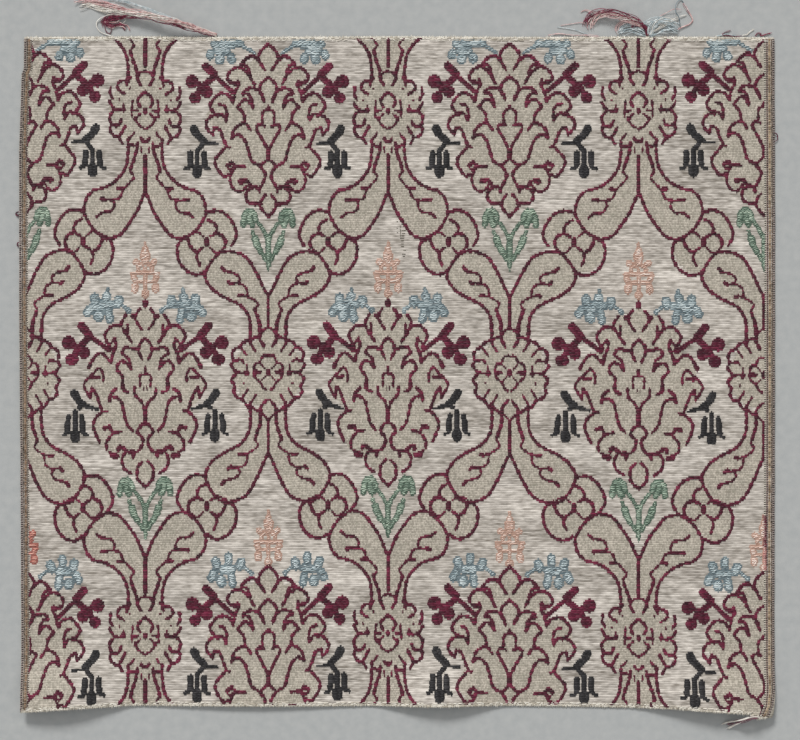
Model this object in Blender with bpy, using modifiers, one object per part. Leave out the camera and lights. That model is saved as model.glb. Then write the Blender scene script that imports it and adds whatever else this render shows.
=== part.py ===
"""Brocade panel: one loom width of patterned silk lying face up, with the loose thread ends at its cut edges.

X runs across the cloth from selvedge to selvedge, +Y runs up the pattern, and +Z is up. The origin is on the
underside, below the middle of the cloth. The tables are in millimetres.
"""

import bmesh
import bpy
from mathutils import Vector

MM = 0.001

# Cloth
CLOTH_THICKNESS = 1.2
SELVEDGE_THICKNESS = 1.5
LEFT_SELVEDGE_WIDTH = 6.0
RIGHT_SELVEDGE_WIDTH = 7.7
SELVEDGE_STEP = 0.6
MIDDLE_HEIGHT = 482.0

# Grid of the cloth: columns down it, two more of them at the rounded corner, and rows that crowd the wavy end
COLUMN_SPACING = 12.0
CORNER_COLUMN_FROM_EDGE = 17.0
OUTER_COLUMN_FROM_EDGE = 3.6
ROW_COUNT = 26
ROW_CROWDING = 1.6

# Outline: (y, x) down each selvedge and (x, y) along each cut edge
LEFT_EDGE = [
    (-243.0, -270.0),
    (-150.0, -270.5),
    (-60.0, -271.0),
    (52.0, -271.8),
    (160.0, -271.8),
    (215.0, -270.0),
    (218.0, -268.4),
    (241.0, -268.2),
]
RIGHT_EDGE = [
    (-248.0, 262.5),
    (-245.0, 265.5),
    (-238.0, 268.7),
    (-227.0, 270.0),
    (-150.0, 270.0),
    (0.0, 270.3),
    (100.0, 270.5),
    (241.0, 270.0),
]
BOTTOM_EDGE = [
    (-270.0, -242.7),
    (-245.0, -240.6),
    (-192.0, -238.5),
    (-60.0, -238.9),
    (55.0, -238.4),
    (120.0, -239.0),
    (200.0, -240.6),
    (233.0, -242.4),
    (250.0, -243.6),
    (257.5, -247.4),
    (265.0, -246.6),
]
TOP_EDGE = [
    (-269.0, 240.8),
    (-190.0, 241.3),
    (-125.0, 240.9),
    (0.0, 241.4),
    (110.0, 240.8),
    (180.0, 241.3),
    (270.0, 240.6),
]

# Where the bottom edge stands off the surface: middle x, height, half width along the edge, reach up the cloth
BOTTOM_WAVES = [
    {"x": -246.0, "height": 9.0, "half_width": 64.0, "reach": 46.0},
    {"x": -105.0, "height": 2.2, "half_width": 90.0, "reach": 26.0},
    {"x": 30.0, "height": 7.5, "half_width": 52.0, "reach": 38.0},
    {"x": 232.0, "height": 9.0, "half_width": 70.0, "reach": 48.0},
]

GROUND_COLOUR = (0.60, 0.55, 0.46, 1.0)
SILK_ROUGHNESS = 0.7

# Loose thread ends
STRAND_WIDTH = 0.8
STRAND_PITCH = 1.15
FLOOR_Z = STRAND_WIDTH / 2
EDGE_GAP = 0.3
BACKING_DEPTH = 1.4
BACKING_HEIGHT = 1.2
CURVE_STEPS = 3
WELD_DISTANCE = 0.00001

# Each skein leaves the cut edge at root_x and turns to the side of that sign. A run's route is its innermost
# line, as (x, y, z), and its strands lie in lanes outside that line.
SKEINS = {
    "skein_top_left": {
        "edge": 1,
        "root_x": -131.0,
        "turn": -1,
        "colour": (0.72, 0.45, 0.47, 1.0),
        "runs": [
            {
                "lanes": [0, 1],
                "route": [
                    (-134.0, 245.6, 2.6),
                    (-160.0, 249.6, 6.6),
                    (-185.0, 254.0, 4.6),
                    (-200.0, 254.5, 2.4),
                    (-208.0, 251.5, 1.0),
                    (-206.0, 247.5, FLOOR_Z),
                    (-198.0, 248.0, FLOOR_Z),
                    (-190.0, 246.5, FLOOR_Z),
                ],
            },
            {
                "lanes": [2],
                "route": [
                    (-134.0, 245.6, 2.6),
                    (-160.0, 249.6, 6.6),
                    (-185.0, 254.0, 4.6),
                    (-200.0, 255.0, 2.4),
                    (-211.0, 253.0, 1.0),
                    (-213.0, 248.5, FLOOR_Z),
                    (-206.0, 245.6, FLOOR_Z),
                    (-198.0, 245.2, FLOOR_Z),
                ],
            },
            {
                "lanes": [3, 4, 5],
                "route": [
                    (-134.0, 245.6, 2.6),
                    (-160.0, 249.6, 6.6),
                    (-185.0, 254.0, 5.4),
                    (-207.0, 258.3, 2.2),
                    (-225.0, 262.6, FLOOR_Z),
                    (-241.0, 266.5, FLOOR_Z),
                ],
            },
        ],
    },
    "skein_top_right_red": {
        "edge": 1,
        "root_x": 174.0,
        "turn": -1,
        "colour": (0.45, 0.13, 0.22, 1.0),
        "runs": [
            {
                "lanes": [0, 1],
                "route": [
                    (172.5, 245.6, 1.6),
                    (165.0, 248.4, 1.0),
                    (159.5, 247.2, FLOOR_Z),
                    (158.0, 243.6, FLOOR_Z),
                ],
            },
            {
                "lanes": [2, 3, 4, 5],
                "route": [
                    (172.5, 246.4, 2.6),
                    (163.0, 251.4, 4.2),
                    (150.0, 254.0, 4.0),
                    (142.0, 251.4, 1.8),
                    (140.2, 246.6, FLOOR_Z),
                ],
            },
        ],
    },
    "skein_top_right_pale": {
        "edge": 1,
        "root_x": 187.0,
        "turn": 1,
        "colour": (0.60, 0.64, 0.66, 1.0),
        "runs": [
            {
                "lanes": [0],
                "route": [
                    (190.0, 245.2, 1.2),
                    (200.0, 246.6, FLOOR_Z),
                    (207.0, 249.2, FLOOR_Z),
                    (211.5, 254.0, FLOOR_Z),
                    (210.0, 261.0, FLOOR_Z),
                    (204.5, 266.8, FLOOR_Z),
                    (199.5, 264.0, 2.0),
                    (197.6, 258.6, 3.2),
                    (198.6, 253.6, 3.6),
                ],
            },
            {
                "lanes": [1, 2, 3, 4],
                "route": [
                    (190.0, 245.4, 1.8),
                    (196.0, 247.8, 2.2),
                    (203.0, 250.4, 1.6),
                    (208.0, 252.6, FLOOR_Z),
                ],
            },
        ],
    },
    "wisp_top_right": {
        "edge": 1,
        "root_x": 249.0,
        "turn": -1,
        "colour": (0.70, 0.62, 0.62, 1.0),
        "runs": [
            {
                "lanes": [0],
                "route": [
                    (247.4, 244.8, 0.8),
                    (241.0, 246.0, FLOOR_Z),
                    (235.0, 245.4, FLOOR_Z),
                    (232.6, 243.2, FLOOR_Z),
                ],
            },
            {
                "lanes": [1],
                "route": [
                    (249.0, 245.4, 0.8),
                    (251.6, 248.6, FLOOR_Z),
                ],
            },
            {
                "lanes": [2],
                "route": [
                    (250.0, 244.6, 0.8),
                    (255.0, 246.4, FLOOR_Z),
                    (264.5, 246.0, FLOOR_Z),
                ],
            },
        ],
    },
    "tail_bottom_right": {
        "edge": -1,
        "root_x": 245.4,
        "turn": -1,
        "colour": (0.40, 0.24, 0.28, 1.0),
        "runs": [
            {
                "lanes": [0, 1, 2, 3],
                "route": [
                    (244.6, -247.6, 8.8),
                    (238.0, -250.8, 4.6),
                    (230.0, -252.8, FLOOR_Z),
                ],
            },
        ],
    },
}


def along(table, position):
    """The table's second value at this position, on straight lines between its rows."""
    low = table[0]
    if position <= low[0]:
        return low[1]
    for high in table[1:]:
        if position <= high[0]:
            share = (position - low[0]) / (high[0] - low[0])
            return low[1] + share * (high[1] - low[1])
        low = high
    return low[1]


def ease(share):
    """Goes smoothly from 0 to 1 while share does, and stays there outside."""
    share = min(max(share, 0.0), 1.0)
    return share * share * (3.0 - 2.0 * share)


def lift(x, y):
    """How far the cloth's underside stands off the surface."""
    above_edge = y - along(BOTTOM_EDGE, x)
    height = 0.0
    for wave in BOTTOM_WAVES:
        across = ease(1.0 - abs(x - wave["x"]) / wave["half_width"])
        up = ease(1.0 - above_edge / wave["reach"])
        height += wave["height"] * across * up
    return height


def column_positions():
    """Each column's share of the cloth's width from the left, and whether it lies in a selvedge."""
    width = RIGHT_EDGE[-1][1] - LEFT_EDGE[-1][1]
    inner_start = LEFT_SELVEDGE_WIDTH
    inner_end = width - RIGHT_SELVEDGE_WIDTH
    count = round((inner_end - inner_start) / COLUMN_SPACING)
    if count % 2 == 0:
        count += 1
    columns = [(0.0, True), (inner_start - SELVEDGE_STEP, True)]
    for i in range(count + 1):
        columns.append((inner_start + (inner_end - inner_start) * i / count, False))
    columns.append((width - CORNER_COLUMN_FROM_EDGE, False))
    columns.append((inner_end + SELVEDGE_STEP, True))
    columns.append((width - OUTER_COLUMN_FROM_EDGE, True))
    columns.append((width, True))
    return [(distance / width, is_selvedge) for distance, is_selvedge in sorted(columns)]


def cloth_point(across, up):
    """The underside's point at these shares of the cloth's width and height."""
    level_y = (up - 0.5) * MIDDLE_HEIGHT
    left = along(LEFT_EDGE, level_y)
    right = along(RIGHT_EDGE, level_y)
    x = left + across * (right - left)
    bottom = along(BOTTOM_EDGE, x)
    top = along(TOP_EDGE, x)
    y = bottom + up * (top - bottom)
    return Vector((x, y, lift(x, y))) * MM


def material(name, colour):
    made = bpy.data.materials.new(name)
    made.use_nodes = True
    shader = made.node_tree.nodes["Principled BSDF"]
    shader.inputs["Base Color"].default_value = colour
    shader.inputs["Roughness"].default_value = SILK_ROUGHNESS
    return made


def collection(name):
    made = bpy.data.collections.new(name)
    bpy.context.scene.collection.children.link(made)
    return made


def make_panel(parts):
    """The cloth, a grid laid on the underside and thickened upwards."""
    columns = column_positions()
    last_column = len(columns) - 1
    mesh = bpy.data.meshes.new("panel")
    grid = bmesh.new()
    bmesh.ops.create_grid(grid, x_segments=last_column, y_segments=ROW_COUNT, size=0.5)
    selvedge_points = []
    for i, vertex in enumerate(grid.verts):
        column = round((vertex.co.x + 0.5) * last_column)
        row_share = round((vertex.co.y + 0.5) * ROW_COUNT) / ROW_COUNT
        across, is_selvedge = columns[column]
        vertex.co = cloth_point(across, row_share**ROW_CROWDING)
        if is_selvedge:
            selvedge_points.append(i)
    grid.to_mesh(mesh)
    grid.free()
    mesh.materials.append(material("silk_ground", GROUND_COLOUR))

    panel = bpy.data.objects.new("panel", mesh)
    parts.objects.link(panel)
    selvedge = panel.vertex_groups.new(name="selvedge")
    selvedge.add(selvedge_points, 1.0, "REPLACE")
    thicken = panel.modifiers.new("Thickness", "SOLIDIFY")
    thicken.thickness = SELVEDGE_THICKNESS * MM
    thicken.offset = 1.0
    thicken.vertex_group = selvedge.name
    thicken.thickness_vertex_group = CLOTH_THICKNESS / SELVEDGE_THICKNESS


def lane_line(route, lane, edge_side, outer_side):
    """The route moved sideways by this many lanes, to the right if outer_side is 1 and to the left if it is -1."""
    line = []
    for i, point in enumerate(route):
        before = route[max(i - 1, 0)]
        after = route[min(i + 1, len(route) - 1)]
        ahead = Vector((after.x - before.x, after.y - before.y, 0.0)).normalized()
        if i == 0:
            ahead = Vector((0.0, edge_side, 0.0))
        outward = Vector((ahead.y, -ahead.x, 0.0)) * outer_side
        line.append(point + outward * lane * STRAND_PITCH)
    return line


def strand_mesh(name, line):
    """A closed four-sided strand along the line, as a mesh."""
    curve = bpy.data.curves.new(name, "CURVE")
    curve.dimensions = "3D"
    curve.twist_mode = "Z_UP"
    curve.resolution_u = CURVE_STEPS
    curve.bevel_depth = STRAND_WIDTH / 2 * MM
    curve.bevel_resolution = 0
    curve.use_fill_caps = True
    spline = curve.splines.new("BEZIER")
    spline.bezier_points.add(len(line) - 1)
    for knot, point in zip(spline.bezier_points, line):
        knot.co = point * MM
        knot.handle_left_type = "AUTO"
        knot.handle_right_type = "AUTO"
    tube = bpy.data.objects.new(name, curve)
    bpy.context.scene.collection.objects.link(tube)
    graph = bpy.context.evaluated_depsgraph_get()
    mesh = bpy.data.meshes.new_from_object(tube.evaluated_get(graph))
    bpy.data.objects.remove(tube)
    body = bmesh.new()
    body.from_mesh(mesh)
    bmesh.ops.remove_doubles(body, verts=body.verts, dist=WELD_DISTANCE)
    bmesh.ops.recalc_face_normals(body, faces=body.faces)
    body.to_mesh(mesh)
    body.free()
    return mesh


def make_skein(name, skein, parts):
    """Strands that stand apart, fused at their roots into a short strip beside the cut edge."""
    edge_side = skein["edge"]
    turn = skein["turn"]
    outer_side = -turn * edge_side
    last_lane = max(lane for run in skein["runs"] for lane in run["lanes"])
    root_x = skein["root_x"]
    far_x = root_x - turn * last_lane * STRAND_PITCH
    middle_x = (root_x + far_x) / 2
    if edge_side > 0:
        edge_y = max(along(TOP_EDGE, root_x), along(TOP_EDGE, far_x))
    else:
        edge_y = min(along(BOTTOM_EDGE, root_x), along(BOTTOM_EDGE, far_x))
    root_y = edge_y + edge_side * (EDGE_GAP + BACKING_DEPTH / 2)
    root_z = lift(middle_x, edge_y) + BACKING_HEIGHT / 2
    backing_width = abs(far_x - root_x) + STRAND_PITCH + STRAND_WIDTH

    bpy.ops.mesh.primitive_cube_add(size=1.0, location=Vector((middle_x, root_y, root_z)) * MM)
    backing = bpy.context.object
    backing.name = name
    backing.data.name = name
    backing.scale = Vector((backing_width, BACKING_DEPTH, BACKING_HEIGHT)) * MM
    bpy.ops.object.transform_apply(location=False, rotation=False, scale=True)
    backing.data.materials.append(material(name + "_silk", skein["colour"]))
    for home in backing.users_collection:
        home.objects.unlink(backing)
    parts.objects.link(backing)

    strands = collection(name + "_strands")
    root = Vector((root_x, root_y, root_z))
    for run in skein["runs"]:
        route = [root] + [Vector(point) for point in run["route"]]
        for lane in run["lanes"]:
            label = f"{name}_lane_{lane}"
            mesh = strand_mesh(label, lane_line(route, lane, edge_side, outer_side))
            strand = bpy.data.objects.new(label, mesh)
            strand.display_type = "WIRE"
            strand.hide_render = True
            strands.objects.link(strand)
    join = backing.modifiers.new("Strands", "BOOLEAN")
    join.operation = "UNION"
    join.operand_type = "COLLECTION"
    join.collection = strands
    join.solver = "EXACT"


def main():
    for old in list(bpy.data.objects):
        bpy.data.objects.remove(old)
    parts = collection("brocade_panel")
    make_panel(parts)
    for name, skein in SKEINS.items():
        make_skein(name, skein, parts)


main()
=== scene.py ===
"""Looks of the brocade panel: silk ground, brocaded pattern, woven selvedges, frayed ends and loose silk.

X runs across the cloth from selvedge to selvedge, +Y runs up the pattern and +Z is up. Tables and functions
work in millimetres, and meshes are made in metres.
"""

import math

import bpy
import numpy as np
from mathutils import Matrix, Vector


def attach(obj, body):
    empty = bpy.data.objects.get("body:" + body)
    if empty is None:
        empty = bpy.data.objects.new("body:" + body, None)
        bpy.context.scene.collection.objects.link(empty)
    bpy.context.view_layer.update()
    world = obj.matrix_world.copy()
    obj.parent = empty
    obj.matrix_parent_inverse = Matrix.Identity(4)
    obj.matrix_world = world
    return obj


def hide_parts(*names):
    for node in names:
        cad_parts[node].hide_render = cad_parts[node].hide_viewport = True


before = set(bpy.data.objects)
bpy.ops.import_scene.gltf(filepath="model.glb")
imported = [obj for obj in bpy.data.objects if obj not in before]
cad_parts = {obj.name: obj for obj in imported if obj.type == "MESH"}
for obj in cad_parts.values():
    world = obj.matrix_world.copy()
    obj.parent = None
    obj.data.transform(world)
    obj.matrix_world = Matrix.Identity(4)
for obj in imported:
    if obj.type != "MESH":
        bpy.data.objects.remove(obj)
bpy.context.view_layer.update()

MM = 0.001
DICE = np.random.default_rng(11)

# Camera and light
LENS = 85.0
SENSOR = 36.0
CAMERA_HEIGHT = 1356.0
CAMERA_OVER = (1.4, 2.2)
SUN_WIDTH = 17.0
SUN_POWER = 2.6
SUN_FROM = (-0.5, 1.7, 1.17)
SKY_POWER = 0.52
SKY_COLOUR = (0.98, 0.99, 1.0, 1.0)
FLOOR_SIZE = 8.0
FLOOR_BELOW = 0.0002

# Cloth, as the solids have it
CLOTH_THICKNESS = 1.2
MIDDLE_HEIGHT = 482.0
LEFT_SELVEDGE_WIDTH = 6.0
RIGHT_SELVEDGE_WIDTH = 7.7
FLAT_SIZE = (0.540, 0.482)  # in metres
LEFT_EDGE = [(-243, -270), (-150, -270.5), (-60, -271), (52, -271.8), (160, -271.8), (215, -270),
             (218, -268.4), (241, -268.2)]
RIGHT_EDGE = [(-248, 262.5), (-245, 265.5), (-238, 268.7), (-227, 270), (-150, 270), (0, 270.3), (100, 270.5),
              (241, 270)]
BOTTOM_EDGE = [(-270, -242.7), (-245, -240.6), (-192, -238.5), (-60, -238.9), (55, -238.4), (120, -239),
               (200, -240.6), (233, -242.4), (250, -243.6), (257.5, -247.4), (265, -246.6)]
TOP_EDGE = [(-269, 240.8), (-190, 241.3), (-125, 240.9), (0, 241.4), (110, 240.8), (180, 241.3), (270, 240.6)]
BOTTOM_WAVES = [  # middle x, height, half width along the edge, reach up the cloth
    (-246, 9.0, 64, 46),
    (-105, 2.2, 90, 26),
    (30, 7.5, 52, 38),
    (232, 9.0, 70, 48),
]

# Finer form of the cloth: its mesh, the thin rim of its cut edges and its soft puckers
CLOTH_CELL = 2.4
BACK_SQUEEZE = 0.08  # the plain back takes up only a narrow strip of the cloth's UV map
BACK_BELOW = 320
EDGE_TAPER = 2.5
EDGE_THIN = 0.5
PUCKERS_START = 12
PUCKERS = [  # height, wavelength, direction in degrees, phase
    (0.16, 61, 84, 0.4),
    (0.12, 37, 98, 2.1),
    (0.10, 83, 12, 1.2),
    (0.07, 23, 75, 4.0),
]

# Brocading chart: one cell is one warp step wide and one pattern weft high
COLUMN = 0.6
ROW = 1.2
CHART_LEFT = -274.0
CHART_BOTTOM = -252.0
CHART_SHAPE = (416, 914)

# Strokes on the chart: how much fuller each kind is drawn than its table says, and how thin ones swell and
# narrow along their length
LINE = 2.3
THINNEST = 0.8
FULLER = 0.15
CORE_FULLER = -1.7
SPRIG_FULLER = 0.5
TREE_FULLER = 0.5
CLUSTER_FULLER = 1.1
TOP_CLUSTER_FULLER = 0.7
WEFT_SQUEEZE = 0.15
LEAST_REACH = ROW / 2 + 0.05
CURVE_STEP = 1.2
BEAD_LENGTH = 5.5
BEADING = 0.24
THICKEST_BEADED = 3.0

# Floats: one weft float is a small pillow, and a long run is tied down on the way
LONGEST_FLOAT = 5.4
SHORTEST_FLOAT = 0.5
TIE_OVERLAP = 0.35
TIE_SHIFT = 0.3
FLOAT_HALF = 0.78
FLOAT_RISE = 0.42
RISE_SPREAD = (0.75, 1.2)
ROW_UNTIDY = 0.06
FLOAT_SUNK = 0.2
FLOAT_INSET = 0.42
FLOAT_CROWN = 0.55
# The low dark bed under the rough floss is painted shade, showing between its pale floats and round its lobes
SHADE_BED_RISE = 0.16
CORE_RISE = 0.6
CORE_HALF = 0.5
LONGEST_CORE = 3.6
CORES_KEPT = 0.96
END_MARGIN = 1.2
UNDER_SELVEDGE = 0.6

# Where the motifs stand, in half repeats across the loom and in millimetres up it
HALF_REPEAT = 87.3
COLUMNS_A = [-3, -1, 1, 3]
COLUMNS_B = [-2, 0, 2]
COLUMNS_KNOT = [-2.5, -1.5, -0.5, 0.5, 1.5, 2.5]
PALMETTE_A_Y = [175.2, -198.9]
PALMETTE_B_Y = -13.3
ROUNDEL_A_Y = [188.1, -188.1]
ROUNDEL_B_Y = 0.7
KNOT_Y = [94.4, -94.9]
UPPER_LEAF_A = 1.03
UPPER_LEAF_B = 0.94

# How the woven cloth lies: where each half repeat came out across it, and at four heights how far the pattern
# is pulled up, from three half repeats left of the middle to three right of it
WOVEN_X = [(-3.5, -311), (-3, -268), (-2.5, -226), (-2, -181.3), (-1, -93), (0, -7.2), (1, 80), (2, 172.5),
           (2.5, 219.2), (3, 262.5), (3.5, 307)]
PULLED_UP = [
    (190, [2, 0, -0.5, 0, 0, 0, 2]),
    (0, [-0.5, -0.5, 0, 0, -0.5, -2, -2]),
    (-190, [-4.5, -0.5, -1, 1.5, -2, -2, -6]),
    (-232, [-7, -1.5, -3.6, 0.5, -4.6, -3.2, -8.6]),
]

# Motifs. A stroke is a width and the points of its line, from the motif's middle. A knot is drawn whole, a
# leaf with its sprig is turned four ways, and of all other motifs the right half is drawn
PALMETTE_A = [
    (LINE, [(0, 61.5), (5.5, 56), (7, 51), (5, 46.5), (2.5, 42.5)]),
    (2.5, [(7, 49.5), (11, 52.5), (15.5, 51), (19.5, 46.5)]),
    (LINE, [(19.5, 46.5), (15.5, 45.5), (13.5, 41.5), (12.5, 37), (10, 32.5)]),
    (LINE, [(13.5, 39), (17.5, 43), (22.5, 44.5), (27.5, 41), (29, 36.5), (26.5, 33)]),
    (3.6, [(23.5, 33), (26, 33.5)]),
    (LINE, [(22, 35.5), (21, 32), (23.5, 26.5), (25, 19.5)]),
    (LINE, [(25, 19.5), (28.5, 24.5), (34.5, 25.5), (38.5, 22), (41.5, 17), (39.5, 13), (36, 9.5)]),
    (2.2, [(35, 18), (31, 16.5), (29.5, 11), (30, 6)]),
    (2.2, [(30, 6), (32.5, 10.5), (36.5, 11)]),
    (LINE, [(36.5, 11), (41.5, 8.5), (44, 4.5), (43.5, 0.5), (39.5, -4)]),
    (LINE, [(39.5, -4), (38.5, 1)]),
    (LINE, [(38.5, 1), (34.5, -0.5), (32, -7), (29.5, -12.5)]),
    (2.4, [(27.5, -13), (30, -12.5)]),
    (LINE, [(30, -12.5), (33.5, -16.5), (37.5, -21.5), (37, -26.5), (32, -33.5), (28, -32.5)]),
    (3.4, [(29, -26), (26, -24)]),
    (2.3, [(26, -24), (23, -26.5), (16.5, -27)]),
    (1.7, [(25, -27.5), (27, -29.5), (29, -27.5)]),
    (2.0, [(23, -26.5), (26.5, -32.5), (27, -37.5), (25.5, -42), (21, -45), (17.5, -43.5), (15, -40)]),
    (4.0, [(18.5, -37.5), (20, -37.5)]),
    (2.6, [(19, -37.5), (15, -37), (12, -41), (7.5, -42), (6.5, -45)]),
    (2.4, [(11, -42), (14.5, -43.5), (16, -47.5), (14.5, -52), (10, -53.5), (5, -53.5)]),
    (LINE, [(2, -47), (5, -51), (5.5, -56), (0, -63)]),
    (2.4, [(0, -21), (6, -26.5)]),
    (2.4, [(6, -26.5), (2.5, -31), (2.5, -35), (6, -42)]),
    (LINE, [(6.5, -26), (12, -22.5), (14.5, -14), (17, -7.5), (21, -4), (24, -4.5)]),
    (3.2, [(24.5, -4.5), (26, -6)]),
    (LINE, [(26, -6), (24.5, -0.5), (20, 3.5), (16, 4), (12.5, -0.5)]),
    (3.6, [(0, -15), (0, -20.5)]),
    (LINE, [(0, -15.5), (4, -7.5), (8.5, 0.5), (6.5, 3.5), (2.5, 2.5)]),
    (3.0, [(0, 15), (0, 16)]),
    (2.0, [(0, 15), (4, 12), (4.2, 4.5)]),
    (LINE, [(16.5, 4), (17.5, 11), (22, 16)]),
    (LINE, [(22, 16), (17.5, 21), (14, 20.5), (11, 16)]),
    (2.8, [(11, 16), (12, 21.5)]),
    (LINE, [(12, 21.5), (14.5, 25.5), (18, 25.5), (15, 29), (8.5, 29), (4.5, 25), (3, 20.5)]),
    (LINE, [(0, 37.5), (5, 33), (6.2, 28), (3.5, 21.5)]),
]
PALMETTE_B = [
    (4.4, [(0, 62.5), (0, 64.5)]),
    (2.2, [(4, 59.5), (7.5, 54.5), (6, 50.5), (2.5, 45)]),
    (3.8, [(7, 54.5), (8.5, 54.5)]),
    (LINE, [(13.5, 55.5), (16.5, 50.5), (16.5, 47)]),
    (LINE, [(16.5, 47), (13, 41), (9.5, 36)]),
    (2.3, [(12.5, 48.5), (12.5, 42)]),
    (2.3, [(16.5, 47), (23, 47.5), (28, 42), (27.5, 37.5), (24, 31.5)]),
    (2.5, [(21.5, 38.5), (20.5, 33.5), (23, 27), (24, 21.5)]),
    (1.7, [(21.5, 39), (24.5, 34.5)]),
    (LINE, [(24, 21.5), (30, 27.5), (34.5, 26.5), (39, 19.5)]),
    (3.4, [(38.5, 20), (39.5, 18)]),
    (2.0, [(29.5, 7.5), (29.5, 13), (32.5, 17.5), (37, 13), (41, 9), (43, 4.5), (38.5, -4)]),
    (2.8, [(32.5, 11), (37, 10.5)]),
    (LINE, [(38.5, -4), (37.5, 3.5)]),
    (LINE, [(37.5, 3.5), (34.5, -1), (30, -13.5)]),
    (2.2, [(27, -13.5), (30, -13.5)]),
    (LINE, [(30, -13.5), (34.5, -18), (36.5, -23.5), (34.5, -30), (32, -35.5)]),
    (3.4, [(28.5, -25.5), (25, -24.5)]),
    (2.3, [(25, -24.5), (22.5, -28.5), (17, -28)]),
    (2.2, [(22.5, -29), (27, -35), (27, -41)]),
    (4.4, [(20, -45.5), (23, -45)]),
    (2.4, [(23, -44), (25, -42.5)]),
    (2.8, [(19, -41), (17.5, -38.5), (12, -42.5), (7, -42.5)]),
    (3.0, [(8, -44), (8.5, -46)]),
    (2.2, [(13.5, -42.5), (16, -46), (16.4, -50), (14.8, -54.4), (11, -57.6)]),
    (2.8, [(10.4, -57.8)]),
    (LINE, [(1.8, -49.5), (5.2, -53.2), (5.6, -57.5), (5.5, -61.5), (3.2, -64.8), (0, -67.8)]),
    (2.4, [(2.5, -23), (5.5, -28.5), (2, -33), (2.5, -38.5), (5.5, -42.5)]),
    (3.8, [(0, -14), (0, -22)]),
    (2.2, [(0, -14.5), (2.5, -7), (7, -2), (7.5, 3.5)]),
    (2.6, [(0, 17.5), (0, 14)]),
    (1.9, [(0, 13), (3.6, 12), (3.6, 4.5)]),
    (0.9, [(1, 3.6), (1, 1.6)]),
    (LINE, [(9, -27.5), (13, -22.5), (15, -14), (16.5, -7.5), (19.5, -4), (24, -3)]),
    (2.9, [(25, -6), (24, -1), (20.5, 2.5)]),
    (LINE, [(12, 0), (16, 2.5), (16, 11), (20, 16.5), (17.5, 22), (13, 21), (10, 17)]),
    (3.4, [(16, 3.5), (16, 6)]),
    (2.6, [(10, 17), (11.5, 24)]),
    (LINE, [(11.5, 24), (16.5, 28)]),
    (LINE, [(16.5, 28), (14, 32), (6.5, 31)]),
    (LINE, [(0, 39), (4, 34.5), (4.5, 29), (2, 23.5)]),
]
BERRIES_A = [
    (3.6, [(25.5, 27), (31, 32), (36, 36.5)]),
    (6.0, [(38.5, 39.5), (44.3, 45.2)]),
    (5.0, [(38.5, 37.5), (44, 33), (48.5, 29)]),
    (3.4, [(47, 32), (50, 33)]),
    (10.0, [(54, 34)]),
    (9.0, [(43.6, 26.8)]),
    (3.8, [(49, 28), (51, 24)]),
    (8.6, [(52, 22.4)]),
]
BERRIES_B = [
    (3.6, [(25.5, 30), (31, 34.5), (38, 39.5)]),
    (6.2, [(39.3, 40.7), (44.8, 47.6)]),
    (5.2, [(40.3, 38.8), (44, 34.5), (48, 31.5)]),
    (3.4, [(47, 33), (50, 34)]),
    (10.2, [(54.2, 35.4)]),
    (9.2, [(43, 28.5)]),
    (4.2, [(48.5, 30), (50.5, 26)]),
    (8.4, [(51, 23.6), (52.6, 23.4)]),
]
BELL_A = [
    (6.2, [(52.8, 0.2), (51.4, -2.6)]),
    (5.4, [(49.8, -4.6), (46, -8)]),
    (5.2, [(45.2, -8.8)]),
    (2.2, [(43, -10), (36, -10.4)]),
    (3.6, [(46.5, -10.8), (49.4, -14.4)]),
    (3.8, [(50.4, -15.5), (50.4, -26)]),
    (7.4, [(50.4, -28.4), (50.4, -31.4)]),
    (4.6, [(45.6, -17.5), (45.3, -25.6)]),
    (2.8, [(44.4, -27.8), (41.8, -28.4)]),
    (4.6, [(55.2, -17.5), (55.5, -25.6)]),
    (2.8, [(56.4, -27.8), (59, -28.4)]),
]
BELL_B = [
    (6.0, [(50.2, -0.6), (48, -4)]),
    (5.2, [(46.6, -6.2), (43.4, -8.4)]),
    (3.4, [(41.8, -9.6), (37, -11)]),
    (2.0, [(36, -11.4), (33, -12)]),
    (3.4, [(45.6, -10.8), (46.6, -10.8)]),
    (4.0, [(49.4, -13.8), (49.4, -27)]),
    (7.2, [(49.4, -29.4), (49.4, -32.2)]),
    (4.0, [(44.6, -17), (44, -21)]),
    (4.6, [(43.9, -21), (43.8, -27.2)]),
    (2.4, [(43, -29.2), (40.6, -30.2)]),
    (4.0, [(54.2, -17), (54.8, -21)]),
    (4.6, [(54.9, -21), (55.2, -27.2)]),
    (2.4, [(56, -29.2), (58.4, -30)]),
]
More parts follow.
